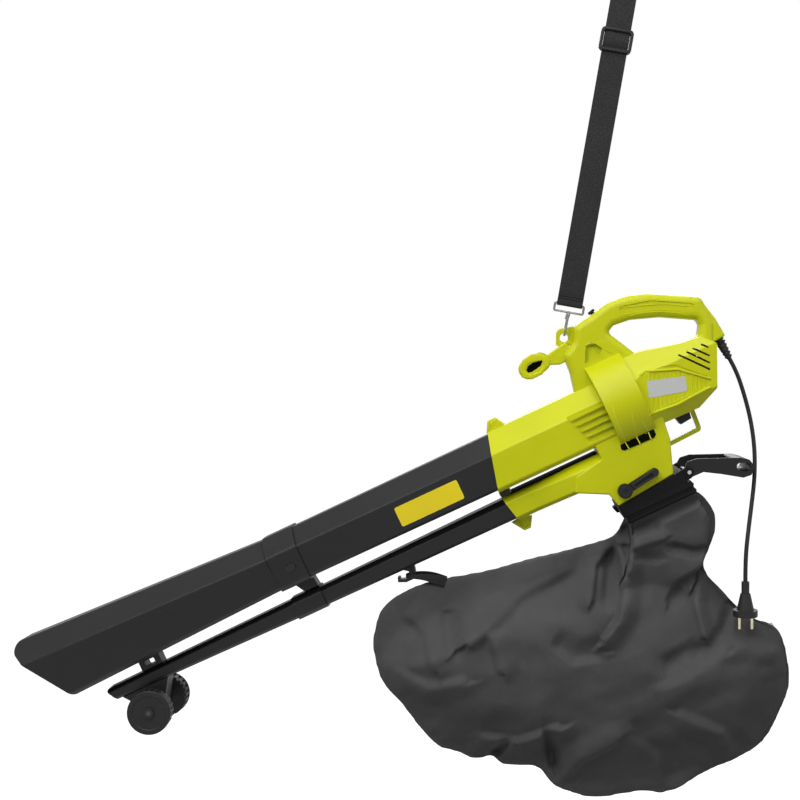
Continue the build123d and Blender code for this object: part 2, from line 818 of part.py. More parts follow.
# Collection bag: a pillow of fabric with an open neck under the collar
def pillow(inset):
    layers = []
    for depth, share in bag_layers:
        layers += [(depth, share), (-depth, share)] if depth else [(0, share)]
    sections = []
    for depth, share in sorted(layers):
        reach = depth * (bag_half_depth - inset) / bag_half_depth
        grow = share * (1 - inset / bag_mean_radius)
        points = [(bag_centre[0] + (x - bag_centre[0]) * grow, bag_centre[1] + (z - bag_centre[1]) * grow)
                  for x, z in bag_side]
        with BuildSketch(Plane.XZ.offset(reach)) as layer:
            with BuildLine():
                Spline(*points, periodic=True)
            make_face()
        sections.append(layer.sketch)
    with BuildPart() as body:
        loft(sections=sections, ruled=True)
    return body.part


def neck(inset, top):
    with BuildSketch(collar_plane(top)) as upper:
        RectangleRounded(collar_length - 2 * inset, 2 * (collar_half_width - inset), collar_corner)
    sections = [upper.sketch]
    for level, middle, length, half_depth in neck_steps:
        with BuildSketch(Plane.XY.offset(level)) as lower:
            with Locations((middle, 0)):
                RectangleRounded(length - 2 * inset, 2 * (half_depth - inset), neck_corner)
        sections.append(lower.sketch)
    with BuildPart() as body:
        loft(sections=sections)
    return body.part


with BuildPart() as collection_bag:
    add([pillow(0), neck(0, collar_depth + 2 * fit)])
    add([pillow(bag_wall), neck(bag_wall, collar_depth - 1)], mode=Mode.SUBTRACT)
with BuildPart() as bag_hook:
    add(slab(hook_side, hook_half_width, edge=1))
with BuildPart() as bag_loop:
    with BuildSketch(side()):
        with BuildLine():
            FilletPolyline(*bag_loop_route, radius=12)
        trace(line_width=bag_loop_thickness)
    extrude(amount=bag_loop_width / 2, both=True)
with BuildPart() as zip_pull:
    with BuildSketch(Plane.XZ):
        with Locations(zip_at):
            SlotOverall(zip_length, zip_width, rotation=-60)
    extrude(amount=zip_thickness / 2, both=True)
for builder, name in [
    (collection_bag, "collection_bag"),
    (bag_hook, "bag_hook"),
    (bag_loop, "bag_loop"),
    (zip_pull, "zip_pull"),
]:
    finished(builder, name)

# Switch, cord clamp and cord hook
with BuildPart() as power_switch:
    add([
        slab(switch_box(knob_length / 2, knob_low, knob_low + knob_height), knob_width / 2, corner=1.5, edge=1),
        slab(switch_box(switch_stem / 2, -stem_depth, knob_low + 1), switch_stem / 2),
    ])
with BuildPart() as switch_block:
    add(slab(switch_room, switch_half_width, corner=1))
    add(
        slab(switch_box(4 * switch_stem, -stem_depth - fit, stem_depth), 2 * switch_half_width),
        mode=Mode.SUBTRACT,
    )
with BuildPart() as cord_clamp:
    with BuildSketch(side()) as outline:
        Polygon(*clamp_room)
        offset(amount=-fit, kind=Kind.INTERSECTION, mode=Mode.REPLACE)
    extrude(amount=clamp_half_width, both=True)
with BuildPart() as cord_hook:
    add(slab(cord_hook_side, cord_hook_half_width, corner=1))
with BuildPart() as tube_interlock:
    add(slab(interlock_side, interlock_half_width, corner=1, centre=-web_half_width - fit - interlock_half_width))
for builder, name in [
    (power_switch, "power_switch"),
    (switch_block, "switch_block"),
    (cord_clamp, "cord_clamp"),
    (cord_hook, "cord_hook"),
    (tube_interlock, "tube_interlock"),
]:
    finished(builder, name)

# Cord, gland and plug
gland_way = Vector(cos(radians(gland_angle)), 0, sin(radians(gland_angle)))
gland_foot = Vector(*tool_point(*gland_base)) + gland_way * fit
gland_end = gland_foot + gland_way * gland_length


def gland_plane(distance):
    return Plane(origin=gland_foot + gland_way * distance, x_dir=(0, 1, 0), z_dir=gland_way)


def ring_radius(distance):
    return gland_radius + (cord_radius + 1 - gland_radius) * distance / gland_length


with BuildPart() as cord_gland:
    with BuildSketch(gland_plane(0)):
        Circle(gland_radius + 2)
    extrude(amount=gland_flange)
    with BuildSketch(gland_plane(0)):
        Circle(gland_radius)
    with BuildSketch(gland_plane(gland_length)):
        Circle(ring_radius(gland_length))
    loft()
    for number in range(gland_rings):
        distance = gland_flange + (number + 1) * gland_ring_pitch
        with BuildSketch(gland_plane(distance)):
            Circle(ring_radius(distance) + 1)
        extrude(amount=gland_ring_width)

cord_points = [gland_end, gland_end + gland_way * cord_first_run] + [Vector(*point) for point in cord_route]


def bend_radii(points, share=0.45):
    radii = []
    for before, corner, after in zip(points, points[1:], points[2:]):
        arrive = corner - before
        leave = after - corner
        half_turn = radians(arrive.get_angle(leave)) / 2
        radii.append(share * min(arrive.length, leave.length) / tan(half_turn))
    return radii


cord_bends = bend_radii(cord_points)
with BuildPart() as power_cord:
    with BuildLine() as cord_line:
        FilletPolyline(*cord_points, radius=cord_bends)
    with BuildSketch(Plane(origin=cord_line.line @ 0, z_dir=cord_line.line % 0)):
        Circle(cord_radius)
    sweep(path=cord_line.line)
cord_length = cord_line.wires()[0].length
cord_share = power_cord.part.volume / (pi * cord_radius**2 * cord_length)
print("cord length", round(cord_length, 1), "least bend", round(min(cord_bends), 1), "share", round(cord_share, 4))

plug_x, plug_y, plug_top = cord_route[-1]


def plug_plane(drop):
    return Plane(origin=(plug_x, plug_y, plug_top - drop), x_dir=(1, 0, 0), z_dir=(0, 0, -1))


with BuildPart() as plug:
    with BuildSketch(plug_plane(0)):
        Circle(relief_radius)
    extrude(amount=relief_length)
    with BuildSketch(plug_plane(relief_length)):
        Circle(cone_radii[0])
    with BuildSketch(plug_plane(relief_length + cone_length)):
        Circle(cone_radii[1])
    loft()
    with BuildSketch(plug_plane(relief_length + cone_length)):
        Circle(flange_radius)
    extrude(amount=flange_depth)
    fillet(plug.faces().sort_by(Axis.Z)[0].edges(), radius=1.5)
with BuildPart() as plug_pins:
    with BuildSketch(plug_plane(relief_length + cone_length + flange_depth)):
        with GridLocations(pin_spacing, 0, 2, 1):
            Circle(plug_pin_radius)
    extrude(amount=plug_pin_length)
for builder, name in [
    (cord_gland, "cord_gland"),
    (power_cord, "power_cord"),
    (plug, "plug"),
    (plug_pins, "plug_pins"),
]:
    finished(builder, name)

# Blank plates
plate_floor = -(motor_half_width - panel_depth)
with BuildPart() as rating_plate:
    add(slab(plate_side, plate_thickness / 2, corner=2, centre=plate_floor - plate_thickness / 2))
face_start = (sleeve_rear, tube_joint.half_width)
face_end = (tube_seat - fit, barrel.half_width - wall - fit)
face_turn = atan2(face_end[1] - face_start[1], face_end[0] - face_start[0])
label_way = Vector(*axis_u) * cos(face_turn) + Vector(0, -1, 0) * sin(face_turn)
label_out = Vector(0, -1, 0) * cos(face_turn) - Vector(*axis_u) * sin(face_turn)
label_spot = tool_point(*label_at, -level(label_at[0], face_start, face_end))
with BuildPart() as tube_label:
    with BuildSketch(Plane(origin=label_spot, x_dir=label_way, z_dir=label_out)):
        RectangleRounded(label_length, label_height, 3)
    extrude(amount=plate_thickness)
finished(rating_plate, "rating_plate")
finished(tube_label, "tube_label")

# Screws that close the shells
with BuildPart() as housing_screws:
    for u, v in screw_points:
        add(across(u, v, screw_radius, screw_tip_y, screw_head_y + 1))
        add(across(u, v, screw_head_radius, screw_head_y, screw_head_y + screw_head_depth))
finished(housing_screws, "housing_screws")


# Rotor and motor
def ring_bar(u_from, u_to, radius, bore):
    with BuildPart() as bar:
        with BuildSketch(section(u_from)):
            Circle(radius)
            Circle(bore, mode=Mode.SUBTRACT)
        extrude(amount=u_to - u_from)
    return bar.part


def case_plate(u_from, u_to, bore):
    """A plate that fills the motor room's section, with a bore on the tool axis."""
    with BuildPart() as plate:
        add(motor_form(wall + fit))
        with BuildSketch(section(u_from)):
            Rectangle(4 * motor_half_width, 4 * motor_half_width)
            Circle(bore, mode=Mode.SUBTRACT)
        extrude(amount=u_to - u_from, mode=Mode.INTERSECT)
    return plate.part


shaft_bore = shaft_radius + running
back_plate_front = fan_width / 2 - wall - fit - back_plate_thickness
back_plate_rear = back_plate_front + back_plate_thickness
bearing_from = back_plate_rear + 2
bearing_to = bearing_from + bearing_width
rear_bearing_from = bearing_plate_station + fit
stator_from = stator_station - stator_length / 2
stator_to = stator_station + stator_length / 2
with BuildPart() as motor_shaft:
    add(round_bar(-24, rear_bearing_from + bearing_width, shaft_radius))
with BuildPart() as impeller:
    blade_reach = impeller_radius - shaft_radius
    with BuildSketch(section(-impeller_depth / 2)):
        Circle(hub_core)
        with PolarLocations((impeller_radius + shaft_radius) / 2, blade_count):
            Rectangle(blade_reach, blade_thickness)
    extrude(amount=impeller_depth)
    add(round_bar(impeller_depth / 2 - wall, impeller_depth / 2, impeller_radius))
    add(round_bar(-fan_width, fan_width, shaft_bore), mode=Mode.SUBTRACT)
with BuildPart() as impeller_nut:
    with BuildSketch(section(-impeller_depth / 2 - running - nut_depth)):
        RegularPolygon(nut_radius, 6)
        Circle(shaft_bore, mode=Mode.SUBTRACT)
    extrude(amount=nut_depth)
with BuildPart() as fan_back_plate:
    add(ring_bar(back_plate_front, back_plate_rear, fan_radius - wall - fit, shaft_radius + 2))
    add(ring_bar(back_plate_rear, bearing_to, bearing_boss - fit, bearing_radius + running))
    add(round_bar(back_plate_front - 1, bearing_from, shaft_radius + 2), mode=Mode.SUBTRACT)
with BuildPart() as motor_bearings:
    add(ring_bar(bearing_from, bearing_to, bearing_radius, shaft_bore))
    add(ring_bar(rear_bearing_from, rear_bearing_from + bearing_width, bearing_radius, shaft_bore))
with BuildPart() as armature:
    add(ring_bar(stator_from + 2, stator_to - 2, armature_radius, shaft_bore))
    with BuildSketch(section(stator_from)):
        with PolarLocations(armature_radius, coil_count):
            Rectangle(6, 2.5)
    extrude(amount=stator_length, mode=Mode.SUBTRACT)
with BuildPart() as armature_windings:
    add(ring_bar(stator_from - 6, stator_from + 2 - running, armature_radius - 4, shaft_bore))
    add(ring_bar(stator_to - 2 + running, stator_to + 3, armature_radius - 4, shaft_bore))
with BuildPart() as commutator:
    add(ring_bar(stator_to + 6, stator_to + 6 + commutator_length, commutator_radius, shaft_bore))
with BuildPart() as stator:
    add(ring_bar(stator_from, stator_to, stator_radius, armature_radius + air_gap))
with BuildPart() as field_coils:
    coil_out, coil_in = stator_radius - 2, armature_radius + air_gap + 1.5
    add(ring_bar(stator_from - 8, stator_from - running, coil_out, coil_in))
    add(ring_bar(stator_to + running, stator_to + 5, coil_out, coil_in))
with BuildPart() as motor_mounts:
    add(case_plate(stator_from + 4, stator_from + 4 + mount_thickness, stator_radius + running))
    add(case_plate(stator_to - 4 - mount_thickness, stator_to - 4, stator_radius + running))
with BuildPart() as bearing_plate:
    add(case_plate(bearing_plate_station, bearing_plate_station + mount_thickness + 2, bearing_radius + running))
brush_station = stator_to + 6 + commutator_length / 2
holder_length = min(commutator_length, 2 * (bearing_plate_station - fit - brush_station))
with BuildPart() as brush_holders:
    for sign in (-1, 1):
        way = Plane(origin=tool_point(brush_station, 0), x_dir=axis_u, z_dir=(0, sign, 0))
        with BuildSketch(way.offset(commutator_radius + 2)):
            Rectangle(holder_length, brush_height + 2 * wall)
            Rectangle(brush_length + 2 * running, brush_height + 2 * running, mode=Mode.SUBTRACT)
        extrude(amount=holder_reach)
with BuildPart() as carbon_brushes:
    for sign in (-1, 1):
        way = Plane(origin=tool_point(brush_station, 0), x_dir=axis_u, z_dir=(0, sign, 0))
        with BuildSketch(way.offset(commutator_radius + fit)):
            Rectangle(brush_length, brush_height)
        extrude(amount=holder_reach - 2)
for builder, name in [
    (motor_shaft, "motor_shaft"),
    (impeller, "impeller"),
    (impeller_nut, "impeller_nut"),
    (fan_back_plate, "fan_back_plate"),
    (motor_bearings, "motor_bearings"),
    (armature, "armature"),
    (armature_windings, "armature_windings"),
    (commutator, "commutator"),
    (stator, "stator"),
    (field_coils, "field_coils"),
    (motor_mounts, "motor_mounts"),
    (bearing_plate, "bearing_plate"),
    (brush_holders, "brush_holders"),
    (carbon_brushes, "carbon_brushes"),
]:
    finished(builder, name)

# Shoulder strap: s runs up the strap from the lug's eyelet, t runs across its width
strap_up = (sin(radians(strap_lean)), 0, cos(radians(strap_lean)))
strap_wide = (cos(radians(strap_lean)), 0, -sin(radians(strap_lean)))
strap_edge = Plane(origin=tool_point(*eyelet), x_dir=(0, 1, 0), z_dir=strap_wide)
strap_face = Plane(origin=tool_point(*eyelet), x_dir=strap_wide, z_dir=(0, -1, 0))
strap_axis = Plane(origin=tool_point(*eyelet), x_dir=strap_wide, z_dir=strap_up)
wire_low = eyelet_radius - fit - wire_radius
yoke_low = hook_height
yoke_high = hook_height + yoke_depth
with BuildPart() as snap_hook:
    with BuildLine(strap_edge) as bend:
        hook_line = [(-hook_half, yoke_low + 1), (-hook_half, wire_low), (hook_half, wire_low), (hook_half, hook_tip)]
        FilletPolyline(*hook_line, radius=hook_bend)
    with BuildSketch(Plane(origin=bend.line @ 0, z_dir=bend.line % 0)):
        Circle(wire_radius)
    sweep(path=bend.line)
    with BuildSketch(strap_edge):
        with Locations((0, (yoke_low + yoke_high) / 2)):
            RectangleRounded(2 * (hook_half + wire_radius), yoke_depth, 1.5)
    extrude(amount=wire_radius + 1.2, both=True)
    with BuildSketch(strap_axis.offset(yoke_low - 1)):
        Circle(wire_radius + running)
    extrude(amount=yoke_depth + 2, mode=Mode.SUBTRACT)
gate_pivot = yoke_low - fit - wire_radius
with BuildPart() as hook_gate:
    with BuildSketch(strap_edge):
        with Locations((hook_half, gate_pivot)):
            Circle(wire_radius)
    extrude(amount=wire_radius + 1.2, both=True)
    with BuildSketch(strap_axis.offset(hook_tip + fit)):
        with Locations((0, hook_half)):
            Circle(wire_radius - 0.3)
    extrude(amount=gate_pivot - hook_tip - fit)
bail_low = yoke_high + fit + wire_radius
bail_high = bail_low + bail_height
with BuildPart() as strap_bail:
    with BuildLine(strap_face) as ring:
        half = bail_width / 2
        ring_line = [(half, bail_low), (half, bail_high), (-half, bail_high), (-half, bail_low)]
        FilletPolyline(*ring_line, radius=bail_corner, close=True)
    with BuildSketch(Plane(origin=ring.line @ 0, z_dir=ring.line % 0)):
        Circle(wire_radius)
    sweep(path=ring.line)
    with BuildSketch(strap_axis.offset(yoke_low - fit)):
        Circle(wire_radius)
    extrude(amount=bail_low - yoke_low + fit)
    with BuildSketch(strap_axis.offset(yoke_low - fit - swivel_head)):
        Circle(wire_radius + 1.2)
    extrude(amount=swivel_head)
wrap = wire_radius + fit
ply = strap_thickness + strap_gap
slider_low = slider_station - slider_height / 2
with BuildPart() as shoulder_strap:
    with BuildSketch(strap_edge):
        with Locations((0, bail_high)):
            Circle(wrap + strap_thickness)
            Circle(wrap, mode=Mode.SUBTRACT)
        with Locations((0, (bail_high + wrap + strap_reach) / 2)):
            Rectangle(strap_thickness, strap_reach - bail_high - wrap)
        with Locations((strap_thickness / 2, bail_high + wrap + 1 + sewn_length / 2)):
            Rectangle(2 * strap_thickness, sewn_length)
        with Locations((ply, (slider_low + fold_rise + strap_reach) / 2)):
            Rectangle(strap_thickness, strap_reach - slider_low - fold_rise)
        with Locations((ply / 2, strap_reach), (ply / 2, slider_low + fold_rise)):
            Circle((ply + strap_thickness) / 2)
        with Locations((ply / 2, strap_reach), (ply / 2, slider_low + fold_rise)):
            Circle(strap_gap / 2, mode=Mode.SUBTRACT)
    extrude(amount=strap_width / 2, both=True)
with BuildPart() as strap_slider:
    channel = ply + strap_thickness + 2 * fit
    with BuildSketch(strap_edge):
        with Locations((ply / 2, slider_station)):
            RectangleRounded(channel + 2 * slider_wall, slider_height, 1.5)
    extrude(amount=slider_width / 2, both=True)
    with BuildSketch(strap_edge):
        with Locations((ply / 2, slider_station)):
            Rectangle(channel, 2 * slider_height)
    extrude(amount=strap_width / 2 + 2 * fit, both=True, mode=Mode.SUBTRACT)
    with BuildSketch(strap_face):
        with Locations((0, slider_station - slider_window), (0, slider_station + slider_window)):
            RectangleRounded(strap_width - 4, slider_window, 1)
    extrude(amount=slider_width, both=True, mode=Mode.SUBTRACT)
for builder, name in [
    (snap_hook, "snap_hook"),
    (hook_gate, "hook_gate"),
    (strap_bail, "strap_bail"),
    (shoulder_strap, "shoulder_strap"),
    (strap_slider, "strap_slider"),
]:
    finished(builder, name)
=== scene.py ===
import json
import math

import bpy
import numpy as np
from mathutils import Matrix, Vector
from mathutils import noise as noiseField
from mathutils.bvhtree import BVHTree


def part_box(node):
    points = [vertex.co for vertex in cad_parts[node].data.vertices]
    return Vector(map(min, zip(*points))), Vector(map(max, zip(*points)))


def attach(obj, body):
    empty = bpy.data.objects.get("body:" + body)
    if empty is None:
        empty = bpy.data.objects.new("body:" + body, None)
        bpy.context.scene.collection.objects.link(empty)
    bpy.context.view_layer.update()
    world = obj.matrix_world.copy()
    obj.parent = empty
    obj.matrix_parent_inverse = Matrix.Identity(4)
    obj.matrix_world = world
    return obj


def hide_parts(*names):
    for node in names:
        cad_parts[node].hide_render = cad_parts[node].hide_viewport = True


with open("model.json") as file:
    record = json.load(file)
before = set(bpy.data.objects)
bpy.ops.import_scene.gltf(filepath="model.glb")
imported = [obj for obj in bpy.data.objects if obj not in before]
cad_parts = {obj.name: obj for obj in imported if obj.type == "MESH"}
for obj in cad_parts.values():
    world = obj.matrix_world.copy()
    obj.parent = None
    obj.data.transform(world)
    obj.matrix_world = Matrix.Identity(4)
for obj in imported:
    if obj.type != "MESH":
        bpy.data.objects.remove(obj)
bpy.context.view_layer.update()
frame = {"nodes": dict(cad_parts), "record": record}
nodes = frame["nodes"]


def clearSelection():
    if bpy.context.object and bpy.context.object.mode != "OBJECT":
        bpy.ops.object.mode_set(mode="OBJECT")
    bpy.ops.object.select_all(action="DESELECT")


def pick(obj):
    clearSelection()
    obj.select_set(True)
    bpy.context.view_layer.objects.active = obj


def applyModifier(obj, kind, name, **values):
    pick(obj)
    modifier = obj.modifiers.new(name, kind)
    for key, value in values.items():
        setattr(modifier, key, value)
    bpy.ops.object.modifier_apply(modifier=name)


def settle(obj):
    pick(obj)
    bpy.ops.object.transform_apply(location=True, rotation=True, scale=True)


def joined(pieces, name):
    clearSelection()
    for piece in pieces:
        piece.select_set(True)
    bpy.context.view_layer.objects.active = pieces[0]
    if len(pieces) > 1:
        bpy.ops.object.join()
    bpy.context.object.name = name
    return bpy.context.object


def openEdit(obj):
    pick(obj)
    bpy.ops.object.mode_set(mode="EDIT")
    bpy.ops.mesh.select_all(action="SELECT")


def closeEdit():
    bpy.ops.mesh.select_all(action="SELECT")
    bpy.ops.mesh.normals_make_consistent(inside=False)
    bpy.ops.object.mode_set(mode="OBJECT")


def merged(obj):
    openEdit(obj)
    bpy.ops.mesh.remove_doubles(threshold=0.00002)
    closeEdit()
    return obj


def mirrored(obj):
    # joined with its twin on the far side
    pick(obj)
    bpy.ops.object.duplicate()
    other = bpy.context.object
    other.scale = (1, -1, 1)
    settle(other)
    return joined([obj, merged(other)], obj.name)


def newCurve(name, dimensions, **values):
    curve = bpy.data.curves.new(name, "CURVE")
    curve.dimensions = dimensions
    for key, value in values.items():
        setattr(curve, key, value)
    return curve


def addRun(curve, kind, spots, **values):
    # one line of the curve through the spots
    run = curve.splines.new(kind)
    smooth = kind == "BEZIER"
    points = run.bezier_points if smooth else run.points
    points.add(len(spots) - 1)
    for point, spot in zip(points, spots):
        place = Vector(spot).to_3d()
        point.co = place if smooth else (*place, 1)
        if smooth:
            point.handle_left_type = point.handle_right_type = "AUTO"
    for key, value in values.items():
        setattr(run, key, value)
    return run


def placed(name, curve):
    obj = bpy.data.objects.new(name, curve)
    bpy.context.scene.collection.objects.link(obj)
    return obj


def toMesh(name, curve):
    pick(placed(name, curve))
    bpy.ops.object.convert(target="MESH")
    return bpy.context.object


print("frame loaded")

# camera at the photograph's angle: level, off the tool's left side
cameraSet = {"place": (-0.2334, -1.8, -0.0825), "lens": 52.06, "sensor": 36, "shift": (-0.125, -0.05),
             "sees": 60}
bpy.ops.object.camera_add(location=cameraSet["place"], rotation=(math.radians(90), 0, 0))
camera = bpy.context.object
camera.data.lens = cameraSet["lens"]
camera.data.sensor_width = cameraSet["sensor"]
camera.data.shift_x, camera.data.shift_y = cameraSet["shift"]
camera.data.clip_end = cameraSet["sees"]
bpy.context.scene.camera = camera
bpy.context.scene.view_settings.view_transform = "Standard"

# studio: white surround, big soft lamps
studio = {
    "floorLevel": -1.5,
    "floorSize": 30,
    "bounce": (0.32, 0.32, 0.32, 1),  # the paper as lamps light it, and as it is seen
    "shadowed": (0.5, 0.5, 0.5, 1),
    "glow": 0.84,
    "horizon": (-0.6, 0.7),
    "surround": (0.05, 0.42),  # strength from below and from above
    "aim": (-0.2, 0, -0.25),
    "lamps": [  # name, place, size, power
        ("overhead", (-0.5, -0.7, 1.9), 1.2, 20),
        ("leftBox", (-1.6, -1.7, 1.5), 1.1, 34),
        ("frontBox", (-0.3, -2.3, 1.5), 1.2, 16),
        ("rightBox", (1.7, -1.7, 0.7), 1.2, 8),
        ("backBox", (0.0, 2.3, 1.2), 1.6, 34),
    ],
}
for name, place, size, power in studio["lamps"]:
    bpy.ops.object.light_add(type="AREA", location=place)
    lamp = bpy.context.object
    lamp.name = name
    lamp.data.size = size
    lamp.data.energy = power
    aimAt = Vector(studio["aim"]) - Vector(place)
    lamp.rotation_euler = aimAt.to_track_quat("-Z", "Y").to_euler()


def addNode(tree, kind, **values):
    node = tree.nodes.new(kind)
    for key, value in values.items():
        if key in node.inputs.keys():
            node.inputs[key].default_value = value
        else:
            setattr(node, key, value)
    return node


def feed(tree, value, socket):
    # a number is set, an output is linked
    if isinstance(value, float):
        socket.default_value = value
    else:
        tree.links.new(value, socket)


def maths(tree, operation, *values):
    node = addNode(tree, "ShaderNodeMath", operation=operation)
    for value, socket in zip(values, node.inputs):
        feed(tree, value, socket)
    return node.outputs[0]


def noise(tree, coords, scale, detail=3.0, rough=0.5):
    node = addNode(tree, "ShaderNodeTexNoise", Detail=detail, Roughness=rough)
    feed(tree, scale, node.inputs["Scale"])
    tree.links.new(coords, node.inputs["Vector"])
    return node.outputs[0]


def ramped(tree, source, *span):
    node = tree.nodes.new("ShaderNodeMapRange")
    for key, value in zip(("From Min", "From Max", "To Min", "To Max"), span):
        node.inputs[key].default_value = value
    tree.links.new(source, node.inputs["Value"])
    return node.outputs[0]


def mixed(tree, factor, first, second):
    node = tree.nodes.new("ShaderNodeMix")
    node.data_type = "RGBA"
    tree.links.new(factor, node.inputs["Factor"])
    tree.links.new(first, node.inputs[6])
    tree.links.new(second, node.inputs[7])
    return node.outputs[2]


def emptyTree(owner):
    owner.use_nodes = True
    owner.node_tree.nodes.clear()
    return owner.node_tree, owner.node_tree.links.new


def seenRays(tree):
    # rays that see the white backdrop: the camera's, and those in metal, gloss and glass
    path = tree.nodes.new("ShaderNodeLightPath").outputs
    glossy = maths(tree, "MAXIMUM", path["Is Camera Ray"], path["Is Glossy Ray"])
    return maths(tree, "MAXIMUM", glossy, path["Is Transmission Ray"])


world = bpy.data.worlds.new("surround")
bpy.context.scene.world = world
tree, link = emptyTree(world)
height = tree.nodes.new("ShaderNodeSeparateXYZ")
link(tree.nodes.new("ShaderNodeTexCoord").outputs["Generated"], height.inputs[0])
strength = addNode(tree, "ShaderNodeMix", B=1.0)
link(seenRays(tree), strength.inputs["Factor"])
link(ramped(tree, height.outputs["Z"], *studio["horizon"], *studio["surround"]), strength.inputs["A"])
surround = addNode(tree, "ShaderNodeBackground", Color=(1, 1, 1, 1))
link(strength.outputs[0], surround.inputs["Strength"])
link(surround.outputs[0], tree.nodes.new("ShaderNodeOutputWorld").inputs[0])

clearSelection()
bpy.ops.mesh.primitive_grid_add(x_subdivisions=8, y_subdivisions=8, size=studio["floorSize"],
                                location=(0, 0, studio["floorLevel"]))
floor = bpy.context.object
floor.name = "studioFloor"
settle(floor)
paper = bpy.data.materials.new("studioPaper")
tree, link = emptyTree(paper)
bounce = addNode(tree, "ShaderNodeBsdfDiffuse", Color=studio["bounce"])
shadowed = addNode(tree, "ShaderNodeBsdfDiffuse", Color=studio["shadowed"])
glow = addNode(tree, "ShaderNodeEmission", Strength=studio["glow"])
both = tree.nodes.new("ShaderNodeAddShader")
link(shadowed.outputs[0], both.inputs[0])
link(glow.outputs[0], both.inputs[1])
choose = tree.nodes.new("ShaderNodeMixShader")
link(seenRays(tree), choose.inputs[0])
link(bounce.outputs[0], choose.inputs[1])
link(both.outputs[0], choose.inputs[2])
link(choose.outputs[0], tree.nodes.new("ShaderNodeOutputMaterial").inputs[0])
floor.data.materials.append(paper)
print("camera and studio ready")


# shared shader groups: each gives a colour, a roughness and a height
def newGroup(name, inputs):
    group = bpy.data.node_groups.new(name, "ShaderNodeTree")
    addSocket = group.interface.new_socket
    for label, value in inputs.items():
        kind = "Float" if isinstance(value, float) else {3: "Vector", 4: "Color"}[len(value)]
        addSocket(label, in_out="INPUT", socket_type="NodeSocket" + kind).default_value = value
    for label, kind in (("Color", "Color"), ("Roughness", "Float"), ("Height", "Float")):
        addSocket(label, in_out="OUTPUT", socket_type="NodeSocket" + kind)
    coords = group.nodes.new("ShaderNodeTexCoord").outputs["Object"]
    return group, group.nodes.new("NodeGroupInput").outputs, group.nodes.new("NodeGroupOutput").inputs, coords


# moulded plastic: cloudy tint, spark-eroded grain, faint scuffs
mouldedSkin, given, made, coords = newGroup("mouldedSkin", {
    "Tint": (0.5, 0.5, 0.5, 1), "Shade": (0.4, 0.4, 0.4, 1), "Scuff": (0.6, 0.6, 0.6, 1), "Gloss": 0.4,
    "Grain": 0.1, "Grain Scale": 900.0})
tree, link = mouldedSkin, mouldedSkin.links.new
cloud = noise(tree, coords, 9.0)
speckle = noise(tree, coords, 140.0, 2.0)
stretch = addNode(tree, "ShaderNodeMapping", Rotation=(0.0, math.radians(25), 0.0),
                  Scale=(14.0, 160.0, 160.0))
link(coords, stretch.inputs["Vector"])
scratch = noise(tree, stretch.outputs[0], 1.6, 4.0, 0.6)
grain = noise(tree, coords, given["Grain Scale"], 2.0)
tinted = mixed(tree, ramped(tree, cloud, 0.3, 0.7, 0.0, 1.0), given["Tint"], given["Shade"])
scuffed = mixed(tree, ramped(tree, scratch, 0.64, 0.8, 0.0, 0.5), tinted, given["Scuff"])
link(scuffed, made["Color"])
link(maths(tree, "MULTIPLY_ADD", speckle, 0.1, given["Gloss"]), made["Roughness"])
link(maths(tree, "MULTIPLY", grain, given["Grain"]), made["Height"])

# woven cloth: crossed threads, uneven dye, lint
wovenCloth, given, made, coords = newGroup("wovenCloth", {
    "Thread": (0.05, 0.05, 0.05, 1), "Faded": (0.08, 0.08, 0.08, 1), "Threads": 250.0,
    "Lean": (0.0, 0.0, 0.0)})
tree, link = wovenCloth, wovenCloth.links.new
turned = tree.nodes.new("ShaderNodeMapping")
link(coords, turned.inputs["Vector"])
link(given["Lean"], turned.inputs["Rotation"])
threads = []
for direction in ("X", "Z"):
    wave = addNode(tree, "ShaderNodeTexWave", bands_direction=direction, Distortion=0.6, Detail=1.0)
    link(turned.outputs[0], wave.inputs["Vector"])
    link(given["Threads"], wave.inputs["Scale"])
    threads.append(wave.outputs["Fac"])
crossed = maths(tree, "MAXIMUM", *threads)
dye = noise(tree, coords, 16.0, 5.0, 0.6)
lint = noise(tree, coords, 420.0, 2.0)
fade = maths(tree, "MULTIPLY_ADD", ramped(tree, dye, 0.25, 0.8, 0.15, 0.60),
             ramped(tree, crossed, 0.0, 1.0, 0.4, 1.0), ramped(tree, lint, 0.62, 0.8, 0.0, 0.35))
link(mixed(tree, fade, given["Thread"], given["Faded"]), made["Color"])
link(ramped(tree, dye, 0.2, 0.8, 0.72, 0.88), made["Roughness"])
link(crossed, made["Height"])

# bare and plated metal: fine rubbed lines and spots
rubbedMetal, given, made, coords = newGroup("rubbedMetal", {
    "Bright": (0.8, 0.8, 0.8, 1), "Dull": (0.6, 0.6, 0.6, 1), "Polish": 0.15})
tree, link = rubbedMetal, rubbedMetal.links.new
lines = addNode(tree, "ShaderNodeMapping", Scale=(60.0, 900.0, 60.0))
link(coords, lines.inputs["Vector"])
rub = noise(tree, lines.outputs[0], 3.0)
spots = noise(tree, coords, 90.0, 4.0, 0.6)
link(mixed(tree, ramped(tree, spots, 0.4, 0.7, 0.0, 1.0), given["Bright"], given["Dull"]), made["Color"])
link(maths(tree, "MULTIPLY_ADD", rub, 0.16, given["Polish"]), made["Roughness"])
link(rub, made["Height"])


